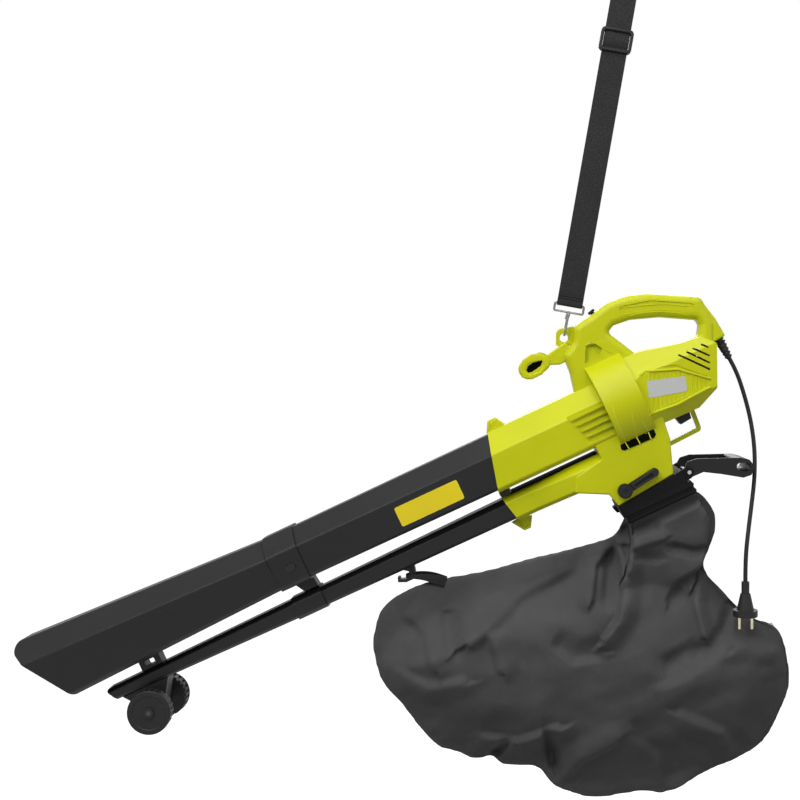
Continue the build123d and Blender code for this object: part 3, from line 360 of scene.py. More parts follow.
def finish(name, group, bump, depth, values, **principled):
    material = bpy.data.materials.new(name)
    material.use_nodes = True
    tree = material.node_tree
    link = tree.links.new
    shader = tree.nodes["Principled BSDF"]
    for key, value in principled.items():
        shader.inputs[key.replace("_", " ")].default_value = value
    skin = addNode(tree, "ShaderNodeGroup", node_tree=group)
    for key, value in values.items():
        socket = skin.inputs[key]
        socket.default_value = (*value, 1.0) if socket.type == "RGBA" else value
    link(skin.outputs["Color"], shader.inputs["Base Color"])
    link(skin.outputs["Roughness"], shader.inputs["Roughness"])
    relief = addNode(tree, "ShaderNodeBump", Strength=bump, Distance=depth)
    link(skin.outputs["Height"], relief.inputs["Height"])
    link(relief.outputs[0], shader.inputs["Normal"])
    return material


def moulded(name, tint, shade, scuff, gloss, grainScale, specular, grain=1.0, bump=0.3, depth=0.0003):
    return finish(name, mouldedSkin, bump, depth, {
        "Tint": tint, "Shade": shade, "Scuff": scuff, "Gloss": gloss, "Grain": grain,
        "Grain Scale": grainScale}, Specular_IOR_Level=specular)


def rubbed(name, bright, dull, polish, metallic=1.0, bump=0.1, depth=0.0002):
    return finish(name, rubbedMetal, bump, depth, {"Bright": bright, "Dull": dull, "Polish": polish},
                  Metallic=metallic)


limePlastic = moulded("limePlastic", (0.55, 0.575, 0.004), (0.50, 0.53, 0.003), (0.63, 0.65, 0.03), 0.32,
                      1500.0, 0.24, bump=0.35, depth=0.0004)
# painted highlight: a lighter copy of the lime plastic, so thin ribs and lines read as lit edges
limeRibHighlight = moulded("limeRibHighlight", (0.66, 0.68, 0.05), (0.60, 0.62, 0.03), (0.70, 0.72, 0.10), 0.3, 1500.0, 0.3)
blackPlastic = moulded("blackPlastic", (0.0045, 0.0045, 0.0052), (0.007, 0.007, 0.008), (0.028, 0.028, 0.03),
                       0.40, 1300.0, 0.26, bump=0.35, depth=0.0004)
collarPlastic = moulded("collarPlastic", (0.011, 0.011, 0.012), (0.008, 0.008, 0.009), (0.03, 0.03, 0.03),
                        0.5, 1500.0, 0.05)
darkPlastic = moulded("darkPlastic", (0.02, 0.02, 0.021), (0.012, 0.012, 0.013), (0.06, 0.06, 0.06), 0.42,
                      1700.0, 0.2)
wheelPlastic = moulded("wheelPlastic", (0.016, 0.016, 0.016), (0.024, 0.024, 0.024), (0.09, 0.088, 0.085),
                       0.46, 900.0, 0.16, bump=0.4, depth=0.0005)
pocketShade = moulded("pocketShade", (0.004, 0.004, 0.002), (0.003, 0.003, 0.001), (0.012, 0.012, 0.004), 0.7,
                      1500.0, 0.02)
leadRubber = moulded("leadRubber", (0.012, 0.012, 0.013), (0.02, 0.02, 0.021), (0.05, 0.05, 0.05), 0.4,
                     1100.0, 0.2, bump=0.25)
plateFilm = moulded("plateFilm", (0.52, 0.53, 0.52), (0.47, 0.48, 0.48), (0.62, 0.62, 0.62), 0.26, 700.0, 0.3,
                    grain=0.6, bump=0.1, depth=0.0002)
labelFilm = moulded("labelFilm", (0.78, 0.63, 0.003), (0.72, 0.57, 0.003), (0.84, 0.68, 0.03), 0.3, 700.0,
                    0.5, grain=0.6, bump=0.1, depth=0.0002)
chromeSteel = rubbed("chromeSteel", (0.26, 0.26, 0.265), (0.13, 0.13, 0.135), 0.18, bump=0.05)
plainSteel = rubbed("plainSteel", (0.5, 0.5, 0.51), (0.38, 0.38, 0.39), 0.26)
axleSteel = rubbed("axleSteel", (0.05, 0.05, 0.052), (0.03, 0.03, 0.031), 0.36, metallic=0.6)
pinBrass = rubbed("pinBrass", (0.62, 0.56, 0.42), (0.5, 0.45, 0.33), 0.2, bump=0.08)
coilCopper = rubbed("coilCopper", (0.52, 0.2, 0.08), (0.36, 0.13, 0.05), 0.3, bump=0.3, depth=0.0004)
bagCloth = finish("bagCloth", wovenCloth, 0.5, 0.0004, {
    "Thread": (0.058, 0.058, 0.0585), "Faded": (0.120, 0.120, 0.121), "Threads": 210.0},
    Specular_IOR_Level=0.03, Sheen_Weight=0.05, Sheen_Roughness=0.5)
strapWebbing = finish("strapWebbing", wovenCloth, 0.8, 0.0006, {
    "Thread": (0.018, 0.018, 0.019), "Faded": (0.052, 0.052, 0.054), "Threads": 120.0,
    "Lean": (0.0, math.radians(-35), 0.0)}, Specular_IOR_Level=0.12)
zipTeeth = finish("zipTeeth", wovenCloth, 1.0, 0.0008, {
    "Thread": (0.008, 0.008, 0.008), "Faded": (0.022, 0.022, 0.023), "Threads": 150.0})
# stitch thread, darkened to near black: real thread and painted shade of the hem's shadow line
stitchThreadAndShade = finish("stitchThreadAndShade", wovenCloth, 0.6, 0.0003, {
    "Thread": (0.004, 0.004, 0.004), "Faded": (0.010, 0.010, 0.010), "Threads": 500.0},
    Specular_IOR_Level=0.05)
print("materials ready")

finishes = {
    "housing_plastic": limePlastic, "black_plastic": blackPlastic, "dark_plastic": darkPlastic,
    "wheel_plastic": wheelPlastic, "bag_fabric": bagCloth, "strap_webbing": strapWebbing,
    "plated_steel": chromeSteel, "plain_steel": plainSteel, "cord_rubber": leadRubber,
    "pin_brass": pinBrass, "coil_metal": coilCopper, "plate_film": plateFilm, "label_film": labelFilm,
}
for part in frame["record"]["subparts"]:
    piece = nodes[part["node"]]
    piece.data.materials.clear()
    piece.data.materials.append(finishes[part["material_slot"]])
nodes["wheel_axle"].data.materials[0] = axleSteel
nodes["bag_collar"].data.materials[0] = collarPlastic

# mains lead: out of the gland, down and over the bag to the plug
lead = {
    "thickness": 0.0066,
    "length": 0.350,
    "route": [
        (0.12310, 0, -0.07944), (0.13410, 0, -0.09849), (0.147, -0.004, -0.140), (0.156, -0.008, -0.180),
        (0.1605, -0.011, -0.221), (0.1595, -0.016, -0.262), (0.153, -0.024, -0.303), (0.1455, -0.034, -0.344),
        (0.1395, -0.042, -0.384), (0.1395, -0.042, -0.419),
    ],
}
leadCurve = newCurve("mainsLead", "3D", bevel_depth=lead["thickness"] / 2, bevel_resolution=6,
                     use_fill_caps=True)
addRun(leadCurve, "NURBS", lead["route"], order_u=3, use_endpoint_u=True, resolution_u=16)
mainsLead = placed("mainsLead", leadCurve)
leadCurve.materials.append(leadRubber)
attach(mainsLead, "machine")
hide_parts("power_cord")
print("lead laid")

# collection bag: two panels sewn round the edge, gathered into a neck under the collar
bag = {
    "outline": [  # in millimetres, like the folds
        (-38.5, -331), (-46, -346), (-54, -357), (-80, -367), (-119, -378), (-189, -396), (-255, -413),
        (-316, -424), (-347, -431), (-386, -448), (-414, -470), (-425, -500), (-428, -524), (-420, -566),
        (-412, -584), (-381, -619), (-355, -653), (-325, -682), (-298, -689), (-272, -700), (-242, -696),
        (-233, -706), (-207, -711), (-172, -714), (-150, -740), (-119, -753), (-89, -760), (-58, -757),
        (-21, -751), (33, -750), (73, -727), (103, -712), (134, -699), (173, -673), (199, -627), (214, -583),
        (211, -549), (206.5, -524.5), (192.5, -498.5), (164, -488), (134, -470), (112, -444), (80, -403),
        (90, -374), (100, -339), (96, -317), (60, -284.5),
    ],
    "edge": 0.006,
    "ease": 0.003,  # smoothing pulls the seam in by this much
    # the neck is tucked into the collar and cut open at the mouth; below clear it is loose
    "collar": {"middle": (0.0125, 0, -0.3050), "long": 0.106, "wide": 0.102, "lean": -25, "tuck": 0.009,
               "mouth": 0.005, "clear": 0.02, "reach": 0.09},
    "neckSteps": [  # move, turn, grow along the collar and across it
        ((0.0051, 0, -0.0109), 0, 1.02, 1.02),
        ((0.013, 0, -0.030), 10, 1.12, 0.96),
        ((-0.004, 0, -0.045), 8, 1.00, 0.90),
        ((-0.022, 0, -0.062), 5, 0.96, 0.66),
        ((-0.030, 0, -0.075), 2, 1.05, 0.30),
    ],
    "voxel": 0.005,
    "deepest": 0.078,
    "topShare": 0.24,  # how full the bag is at the top, and at its fullest
    "fullShare": 0.80,
    "neckLevel": -0.38,
    "neckReach": 0.06,  # below the collar the panels swell over this depth
    "sag": 0.17,  # depth below the neck where it is fullest
    "tuckUnder": (0.72, 0.19, 1.7),  # how much the low part turns back under, over what height, how late
    "crease": 1.7,
    "roll": (0.105, 0.85),  # how far in from the seam the panel is full, and how round
    "hem": (0.006, 0.3),  # width of the seam's flat edge, share of depth left at it
    "puckers": [(23, 0.6, 0.4), (41, 0.5, 1.3), (67, 0.35, 2.1)],
    "puckerRise": (0.0045, 0.030, 0.008),  # height, how far in they fade, where they start
    "ripples": (0.0048, 0.0012),  # broad and fine
    "calm": (0.006, 0.03),  # no ripples by the seam
    # folds: line of the fold, rise outwards, half width, lean to one side
    "frontFolds": [
        ([(-50, -352), (-30, -348), (4, -336)], -6.2, 11, 0.4),
        ([(-56, -361), (-30, -366), (14, -352)], 4.2, 13, 0.4),
        ([(-52, -366), (-26, -384), (6, -386)], -4.5, 14, 0.4),
        ([(-60, -366), (-88, -398), (-96, -446)], 8, 18, -0.5),
        ([(92, -366), (60, -372), (30, -364)], -6, 13, 0.4),
        ([(76, -406), (64, -452), (74, -498)], 8, 16, 0.5),
        ([(128, -466), (110, -500), (70, -530)], -7, 16, -0.4),
        ([(-52, -357), (-46, -400), (-46, -436), (-56, -474), (-78, -503)], 12, 20, 0.75),
        ([(-62, -372), (-64, -410), (-70, -450)], -7, 16, 0.0),
        ([(-45, -347), (10, -322), (62, -297)], -6, 13, 0.3),
        ([(79, -401), (42, -424), (26, -450)], -7, 16, 0.4),
        ([(82, -395), (98, -424), (120, -452)], 6, 14, 0.3),
        ([(-110, -392), (-205, -440), (-278, -503)], 9, 42, -0.5),
        ([(-318, -470), (-306, -515)], -6, 22, 0.3),
        ([(-245, -490), (-230, -545)], 6, 24, 0.4),
        ([(-155, -505), (-120, -530), (-85, -525)], -6, 24, 0.4),
        ([(-4, -585), (42, -567), (104, -530)], 6, 34, -0.5),
        ([(10, -545), (60, -520)], -6, 22, 0.0),
        ([(-270, -660), (-207, -668), (-148, -642)], 8, 26, -0.5),
        ([(-166, -640), (-160, -680), (-152, -712)], -11, 16, 0.5),
        ([(-242, -700), (-222, -672)], -8, 14, 0.4),
        ([(-140, -735), (-110, -690), (-60, -660)], 7, 26, 0.4),
        ([(33, -745), (20, -690), (-20, -650)], -6, 26, -0.4),
        ([(130, -695), (100, -650), (40, -620)], 7, 26, 0.4),
        ([(200, -535), (160, -520), (108, -515)], 6, 20, 0.4),
        ([(-400, -560), (-340, -580), (-290, -570)], 6, 28, -0.4),
        ([(-380, -470), (-345, -500), (-330, -545)], 5, 26, 0.4),
    ],
    "backFolds": [
        ([(-52, -357), (-60, -410), (-80, -470)], 11, 20, 0.7),
        ([(79, -401), (30, -430), (0, -480)], -8, 18, 0.4),
        ([(-45, -347), (10, -322), (62, -297)], -6, 13, 0.3),
        ([(-140, -400), (-220, -450), (-300, -530)], 10, 40, -0.5),
        ([(10, -600), (70, -570), (130, -540)], 6, 34, -0.5),
        ([(-150, -715), (-150, -660), (-110, -610)], -10, 20, 0.5),
        ([(-280, -680), (-230, -640), (-200, -600)], 8, 26, 0.4),
        ([(50, -730), (30, -680), (-20, -650)], 7, 26, -0.4),
        ([(-390, -520), (-330, -560), (-280, -560)], 7, 28, 0.4),
    ],
}


def metres(line):
    return [(x / 1000, z / 1000) for x, z in line]


bagSeam = metres(bag["outline"])
collar = bag["collar"]
collarTurn = math.radians(collar["lean"])
collarUp = Vector((math.sin(collarTurn), 0, math.cos(collarTurn)))
collarMiddle = Vector(collar["middle"])


def bagPanels():
    curve = newCurve("bagOutline", "2D", fill_mode="BOTH", extrude=bag["edge"], offset=bag["ease"])
    addRun(curve, "BEZIER", bagSeam, use_cyclic_u=True, resolution_u=4)
    obj = toMesh("bagPanels", curve)
    obj.rotation_euler = (math.radians(90), 0, 0)
    settle(obj)
    return obj


def bagNeck():
    clearSelection()
    middle = collarMiddle + collarUp * collar["tuck"]
    bpy.ops.mesh.primitive_grid_add(x_subdivisions=4, y_subdivisions=4, size=1, location=middle,
                                    rotation=(0, collarTurn, 0))
    obj = bpy.context.object
    obj.name = "bagNeck"
    obj.scale = (collar["long"], collar["wide"], 1)
    settle(obj)
    openEdit(obj)
    for move, turn, grow, across in bag["neckSteps"]:
        bpy.ops.mesh.extrude_region_move(TRANSFORM_OT_translate={"value": move})
        middle += Vector(move)
        bpy.ops.transform.rotate(value=math.radians(-turn), orient_axis="Y", center_override=middle)
        bpy.ops.transform.resize(value=(grow, across, grow), center_override=middle)
    closeEdit()
    return obj


def readPoints(mesh, field):
    values = np.zeros(len(mesh.vertices) * 3)
    mesh.vertices.foreach_get(field, values)
    return values.reshape(-1, 3)


def nearestOn(line, closed, spots):
    # distance to a drawn line, the side it lies on and how far along, for many spots
    ends = [np.array(end) for end in line]
    pairs = list(zip(ends, ends[1:] + (ends[:1] if closed else [])))
    gap = np.full(len(spots), 1e9)
    hand = np.zeros(len(spots))
    along = np.zeros(len(spots))
    run = 0.0
    for start, end in pairs:
        step = end - start
        length = np.hypot(*step)
        share = np.clip(((spots - start) @ step) / length**2, 0, 1)
        off = spots - (start + share[:, None] * step)
        far = np.hypot(off[:, 0], off[:, 1])
        closer = far < gap
        gap[closer] = far[closer]
        hand[closer] = np.sign(off[:, 0] * step[1] - off[:, 1] * step[0])[closer]
        along[closer] = run + share[closer] * length
        run += length
    return gap, hand, along, run


def aboveCollar(points):
    return (points - np.array(collarMiddle)) @ np.array(collarUp)


def swell(points, facing):
    gap, _, along, run = nearestOn(bagSeam, True, points[:, [0, 2]])
    side = np.sign(facing)
    depth = bag["neckLevel"] - points[:, 2]
    low = np.clip(depth / bag["sag"], 0, 1)
    gain = bag["fullShare"] - bag["topShare"]
    full = bag["deepest"] * (bag["topShare"] + gain * np.sin(low * math.pi / 2))
    amount, height, late = bag["tuckUnder"]
    full *= 1 - amount * np.clip((depth - bag["sag"]) / height, 0, 1) ** late
    reach, bend = bag["roll"]
    rise = full * np.sin(np.clip(gap / reach, 0, 1) * math.pi / 2) ** bend
    pucker = np.zeros(len(points))
    for waves, share, shift in bag["puckers"]:
        pucker += share * np.sin(2 * math.pi * waves * along / run + shift * side)
    height, reach, start = bag["puckerRise"]
    rise += height * pucker * np.exp(-gap / reach) * np.clip(gap / start, 0, 1)
    drop = aboveCollar(points)
    rise *= np.clip(-drop / bag["neckReach"], 0, 1)
    points[:, 1] = side * np.maximum(np.abs(points[:, 1]), rise)
    width, least = bag["hem"]
    points[:, 1] *= np.where(drop < -collar["clear"], np.clip(gap / width, least, 1), 1)
    return points


def pressFold(points, facing, line, rise, halfWidth, lean):
    gap, hand, along, run = nearestOn(metres(line), False, points[:, [0, 2]])
    reach = halfWidth / 1000 * (1 - lean * hand)
    ease = np.where(gap < reach, np.cos(np.clip(gap / reach, 0, 1) * math.pi / 2) ** 2, 0)
    share = along / run
    fade = np.minimum(1.0, 5 * share * (1.15 - share) + 0.15)  # faint where the line starts
    points[:, 1] += np.sign(facing) * bag["crease"] * rise / 1000 * ease * fade * (np.abs(facing) > 0.15)


collectionBag = joined([bagPanels(), bagNeck()], "collectionBag")
applyModifier(collectionBag, "REMESH", "fuse", mode="VOXEL", voxel_size=bag["voxel"])
mesh = collectionBag.data
points = swell(readPoints(mesh, "co"), readPoints(mesh, "normal")[:, 1])
mesh.vertices.foreach_set("co", points.ravel())
mesh.update()
applyModifier(collectionBag, "SMOOTH", "relax", factor=0.5, iterations=5)
applyModifier(collectionBag, "SUBSURF", "soften", levels=1, render_levels=1)
mesh = collectionBag.data
points = readPoints(mesh, "co")
facing = readPoints(mesh, "normal")[:, 1]
for folds, front in ((bag["frontFolds"], True), (bag["backFolds"], False)):
    shown = np.where((facing < 0) == front, facing, 0)
    for fold in folds:
        pressFold(points, shown, *fold)
start, span = bag["calm"]
calm = np.clip((np.abs(points[:, 1]) - start) / span, 0, 1) * (aboveCollar(points) < -collar["clear"])
broad, fine = bag["ripples"]
ripples = np.array([
    noiseField.noise(Vector((12 * x + 8 * z, 10 * y + 3.1, 25 * z - 8 * x))) * broad
    + noiseField.noise(Vector((46 * x, 46 * y, 46 * z))) * fine
    for x, y, z in points
])
points[:, 1] += np.sign(facing) * ripples * calm
points[:, 1] = np.clip(points[:, 1], -bag["deepest"], bag["deepest"])
mesh.vertices.foreach_set("co", points.ravel())
mesh.update()
applyModifier(collectionBag, "SMOOTH", "settled", factor=0.4, iterations=2)
pick(collectionBag)
bpy.ops.object.shade_smooth()
mesh = collectionBag.data
for face in mesh.polygons:  # the mouth is cut open inside the collar
    face.select = (face.center - collarMiddle).length < collar["reach"]
bpy.ops.object.mode_set(mode="EDIT")
bpy.ops.mesh.select_mode(type="FACE")
bpy.ops.mesh.bisect(plane_co=collarMiddle + collarUp * collar["mouth"], plane_no=collarUp, clear_outer=True)
bpy.ops.object.mode_set(mode="OBJECT")
mesh = collectionBag.data
mesh.materials.clear()
mesh.materials.append(bagCloth)
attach(collectionBag, "machine")
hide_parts("collection_bag")
print("bag sewn,", len(mesh.polygons), "faces")

# shoulder strap: one ribbon, sewn back on itself round the bail, up to a fold and down behind to the slider
strap = {
    "eyelet": (-0.13419, 0, -0.04823),
    "lean": 10,
    "width": 0.040,
    "thickness": 0.0016,
    "line": [
        (-0.0021, 0.0668), (-0.0022, 0.0585), (-0.0026, 0.0545), (-0.0021, 0.0510), (0, 0.0499),
        (0.0021, 0.0510), (0.0026, 0.0545), (0.0012, 0.0580), (0.0, 0.0620), (0.0, 0.12), (0.0, 0.25),
        (0.0, 0.40), (0.0, 0.548), (0.0004, 0.5545), (0.0014, 0.5565), (0.0024, 0.5545), (0.0028, 0.548),
        (0.0028, 0.50), (0.0028, 0.466), (0.0024, 0.4625), (0.0014, 0.4612),
    ],
}
strapTurn = math.radians(strap["lean"])
strapUp = Vector((math.sin(strapTurn), 0, math.cos(strapTurn)))
strapAcross = Vector((math.cos(strapTurn), 0, -math.sin(strapTurn)))


def onStrap(across, up):
    return Vector(strap["eyelet"]) + strapUp * up + strapAcross * across


def strapRibbon(name, line, width):
    curve = newCurve(name, "2D", fill_mode="NONE", extrude=width / 2)
    addRun(curve, "BEZIER", line, resolution_u=4)
    obj = toMesh(name, curve)
    applyModifier(obj, "SOLIDIFY", "weight", thickness=strap["thickness"], offset=0)
    across = Vector((0, 1, 0))
    turn = Matrix((across, strapUp, across.cross(strapUp))).transposed().to_4x4()
    obj.matrix_world = Matrix.Translation(strap["eyelet"]) @ turn
    settle(obj)
    return obj


shoulderStrap = strapRibbon("shoulderStrap", strap["line"], strap["width"])
bpy.ops.object.shade_smooth_by_angle(angle=math.radians(40))
shoulderStrap.data.materials.append(strapWebbing)
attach(shoulderStrap, "strap")
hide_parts("shoulder_strap")
print("strap hung")

# raised details on the housing, drawn from the side and laid on its skin
beadStep = {"most": 0.003, "least": 0.0008}


def skinOf(node):
    return BVHTree.FromObject(nodes[node], bpy.context.evaluated_depsgraph_get())


housingSkin = skinOf("housing_left")
eye = Vector(cameraSet["place"])


def onSkin(x, z, lift=0.0, skin=housingSkin):
    spot, normal, _, _ = skin.ray_cast(eye, (Vector((x, 0, z)) - eye).normalized())
    return None if spot is None else spot + normal * lift


def bead(line, radius, sink, skin=housingSkin):
    spots = []
    for (x0, z0), (x1, z1) in zip(line, line[1:]):
        steps = max(2, int(math.hypot(x1 - x0, z1 - z0) / beadStep["most"]))
        for step in range(steps + 1):
            spot = onSkin(x0 + (x1 - x0) * step / steps, z0 + (z1 - z0) * step / steps, -sink, skin)
            if spot is not None and (not spots or (spot - spots[-1]).length > beadStep["least"]):
                spots.append(spot)
    curve = newCurve("bead", "3D", bevel_depth=radius, bevel_resolution=2, use_fill_caps=True)
    addRun(curve, "POLY", spots)
    return toMesh("bead", curve)


def flatRing(name, rings, half, rounding, offset=0.0):
    curve = newCurve(name, "2D", fill_mode="BOTH", extrude=half - rounding, bevel_depth=rounding,
                     bevel_resolution=2, offset=offset)
    for ring in rings:
        addRun(curve, "POLY", ring, use_cyclic_u=True)
    return toMesh(name, curve)


def plate(name, outline, holes, solid, middle=0.0):
    # solid: half thickness and rounding
    obj = flatRing(name, [outline] + holes, *solid, -solid[1])
    obj.rotation_euler = (math.radians(90), 0, 0)
    obj.location = (0, middle, 0)
    settle(obj)
    return merged(obj)


def onFlank(x, z, depth):
    # where the camera's line through a point of the middle plane meets a flat side
    share = (eye.y - depth) / eye.y
    return eye.x + (x - eye.x) * share, eye.z + (z - eye.z) * share


def flankPlate(name, outline, face, solid, middle):
    return plate(name, [onFlank(x, z, face) for x, z in outline], [], solid, middle)


def dress(obj, material, body="machine"):
    pick(obj)
    bpy.ops.object.shade_smooth_by_angle(angle=math.radians(38))
    obj.data.materials.clear()
    obj.data.materials.append(material)
    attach(obj, body)


def circleLine(middle, radius, count=32):
    turns = [2 * math.pi * number / count for number in range(count)]
    return [(middle[0] + radius * math.cos(turn), middle[1] + radius * math.sin(turn)) for turn in turns]


def roundedBox(long, wide, corner, steps):
    ring = []
    for quarter, (right, top) in enumerate([(1, 1), (-1, 1), (-1, -1), (1, -1)]):
        for step in range(steps):
            turn = math.pi / 2 * (quarter + step / (steps - 1))
            ring.append((right * (long / 2 - corner) + corner * math.cos(turn),
                         top * (wide / 2 - corner) + corner * math.sin(turn)))
    return ring


def pebble(segments, rings, size, turn, place):
    clearSelection()
    bpy.ops.mesh.primitive_uv_sphere_add(segments=segments, ring_count=rings, radius=1)
    obj = bpy.context.object
    obj.scale = size
    obj.rotation_euler = (0, turn, 0)
    obj.location = place
    settle(obj)
    return obj


# eye at the end of the front arm
armEnd = {
    "ring": [(-0.2048, -0.0983), (-0.1992, -0.0831), (-0.1853, -0.0733), (-0.1701, -0.0725),
             (-0.1575, -0.0803), (-0.1562, -0.0899), (-0.1687, -0.1052), (-0.1839, -0.1125),
             (-0.1978, -0.1103)],
    "pocket": [(-0.1937, -0.0969), (-0.1881, -0.0878), (-0.1687, -0.0831), (-0.1652, -0.0899),
               (-0.1715, -0.0997), (-0.1881, -0.1052)],
    "solid": (0.0115, 0.0018), "floor": (0.0045, 0.0003),
}
armRing = plate("armRing", armEnd["ring"], [armEnd["pocket"]], armEnd["solid"])
dress(armRing, limePlastic)
# painted shade: a near-black plate inside the eye's hole, so the hole reads as shaded
armPocketShade = plate("armPocketShade", armEnd["pocket"], [], armEnd["floor"])
dress(armPocketShade, pocketShade)

# lug for the strap's hook
lugTab = {
    "outline": [(-0.1464, -0.0599), (-0.1464, -0.0415), (-0.1444, -0.0368), (-0.1405, -0.0338),
                (-0.134, -0.0328), (-0.119, -0.0300), (-0.1175, -0.0560), (-0.1307, -0.0630)],
    "eyelet": (-0.13419, -0.04823), "hole": 0.0065, "solid": (0.0034, 0.0009),
}
strapLug = plate("strapLug", lugTab["outline"], [circleLine(lugTab["eyelet"], lugTab["hole"])],
                 lugTab["solid"])
dress(strapLug, limePlastic)

# fins above and below the barrel's mouth
fins = {
    "top": [(-0.2544, -0.1961), (-0.2529, -0.1775), (-0.2409, -0.1713), (-0.2256, -0.1817),
            (-0.2300, -0.1960)],
    "low": [(-0.2150, -0.3350), (-0.1951, -0.3470), (-0.1853, -0.3428), (-0.1835, -0.3244),
            (-0.2000, -0.3250)],
    "solid": (0.0055, 0.0014),
}
barrelFins = joined([plate("fin", fins[place], [], fins["solid"]) for place in ("top", "low")], "barrelFins")
dress(barrelFins, limePlastic)

# frames, lines and ribs: radius and sink of each sort
ridges = {
    "frame": (0.0021, -0.0002),
    "line": (0.0009, 0.0002),
    "bandLine": (0.0008, 0.0003),
    "rib": (0.0009, 0.0001),
    "frames": [
        [(-0.0150, -0.1068), (-0.0075, -0.1002), (0.0439, -0.0969), (0.0940, -0.1114)],
        [(-0.0006, -0.1670), (0.0439, -0.1511), (0.0717, -0.1358), (0.0940, -0.1246)],
    ],
    "bandLines": [
        [(-0.0590, -0.1525), (-0.0534, -0.1719), (-0.0422, -0.1998), (-0.0389, -0.2085)],
        [(-0.0283, -0.1635), (-0.0227, -0.1942), (-0.0210, -0.2015)],
        [(-0.0131, -0.1747), (-0.0061, -0.1883), (-0.0031, -0.1929)],
    ],
    "lines": [
        [(-0.0481, -0.0016), (-0.0321, 0.0003), (-0.0118, 0.0023), (0.0118, 0.0040), (0.0286, 0.0040),
         (0.0456, 0.0026), (0.0607, 0.0011)],
        [(-0.0321, -0.0145), (-0.0185, -0.0103), (-0.0017, -0.0082), (0.0202, -0.0079), (0.0422, -0.0090),
         (0.0590, -0.0128)],
        [(-0.1005, -0.0913), (-0.1005, -0.0608), (-0.0909, -0.0538), (-0.0590, -0.0719)],
        [(-0.0979, -0.0691), (-0.0937, -0.0885)],
        [(-0.0890, -0.0568), (-0.0784, -0.0806)],
    ],
    "panelRibs": {
        "from": -0.0010, "to": 0.0860, "count": 14, "slant": 0.001, "shortest": 0.004, "plateEnd": 0.061,
        # height, slope and where the slope starts: panel's top and foot, rating plate's top and foot
        "top": (-0.1010, -0.12, 0.050), "foot": (-0.1640, 0.40, 0.0),
        "plateTop": (-0.1153, 0.150, -0.0062), "plateFoot": (-0.1439, 0.136, -0.0032), "underPlate": 0.003,
    },
}


def edgeAt(x, height, slope, start):
    return height + slope * max(0, x - start)


pieces = [bead(line, *ridges["frame"]) for line in ridges["frames"]]
pieces += [bead(line, *ridges["line"]) for line in ridges["lines"]]
ribs = ridges["panelRibs"]
for number in range(ribs["count"]):
    x = ribs["from"] + (ribs["to"] - ribs["from"]) * number / (ribs["count"] - 1)
    head = (x + ribs["slant"], edgeAt(x, *ribs["top"]))
    low = min(edgeAt(x, *ribs["foot"]), head[1] - ribs["shortest"])
    if x < ribs["plateEnd"]:  # ribs stop at the rating plate
        plateFoot = edgeAt(x, *ribs["plateFoot"])
        pieces.append(bead([head, (x, edgeAt(x, *ribs["plateTop"]))], *ridges["rib"]))
        foot = (x - ribs["slant"], min(low, plateFoot - ribs["underPlate"]))
        pieces.append(bead([(x, plateFoot), foot], *ridges["rib"]))
    else:
        pieces.append(bead([head, (x - ribs["slant"], low)], *ridges["rib"]))
housingRidges = mirrored(joined(pieces, "housingRidges"))
dress(housingRidges, limePlastic)
# the fan band's lines take the lighter lime: painted highlight
bandLines = mirrored(joined([bead(line, *ridges["bandLine"]) for line in ridges["bandLines"]], "bandLines"))
dress(bandLines, limeRibHighlight)

# slanted side of the recess above the fan case
recess = {"side": [(-0.0896, -0.0543), (-0.0680, -0.0515), (-0.0680, -0.0690)], "face": -0.0192,
          "solid": (0.0031, 0.0002), "middle": -0.0161}
recessSide = mirrored(flankPlate("recessSide", recess["side"], recess["face"], recess["solid"],
                                 recess["middle"]))
dress(recessSide, limePlastic)

# painted shade: a near-black plate over the slot low on the fan case, so it reads as a shaded hole, with ribs
# across it
slotShade = {
    "outline": [(-0.0462, -0.2148), (0.0066, -0.1918), (0.0086, -0.1984), (0.0062, -0.2035),
                (-0.0392, -0.2230), (-0.0447, -0.2219)],
    "ribs": [
        [(-0.0398, -0.2105), (-0.0382, -0.2098), (-0.0312, -0.2208), (-0.0328, -0.2215)],
        [(-0.0219, -0.2030), (-0.0203, -0.2022), (-0.0141, -0.2137), (-0.0157, -0.2145)],
        [(-0.0040, -0.1950), (-0.0024, -0.1942), (0.0030, -0.2058), (0.0014, -0.2066)],
    ],
    "probes": [(-0.036, -0.226), (-0.004, -0.212), (0.004, -0.208)],
    "solid": (0.0014, 0.0002), "sink": 0.0001, "ribSolid": (0.0020, 0.0003),
}
flank = min(onSkin(x, z).y for x, z in slotShade["probes"])
fanSlotShade = mirrored(flankPlate("fanSlotShade", slotShade["outline"], flank, slotShade["solid"],
                              flank + slotShade["sink"]))
dress(fanSlotShade, pocketShade)
# the ribs across the slot take the lighter lime: painted highlight
slotRibs = mirrored(joined([flankPlate("slotRib", rib, flank, slotShade["ribSolid"], flank)
                            for rib in slotShade["ribs"]], "slotRibs"))
dress(slotRibs, limeRibHighlight)

# painted shade: a near-black strip on the lower duct, in the shaded gap under the barrel
gapShade = {"line": [(-0.2240, -0.2913), (-0.0846, -0.2265)], "lift": (-0.00038, 0.00082),
         "solid": (0.0303, 0.0001)}
liftX, liftZ = gapShade["lift"]
upper = [(x + liftX, z + liftZ) for x, z in reversed(gapShade["line"])]
ductGapShade = plate("ductGapShade", gapShade["line"] + upper, [], gapShade["solid"])
dress(ductGapShade, pocketShade)

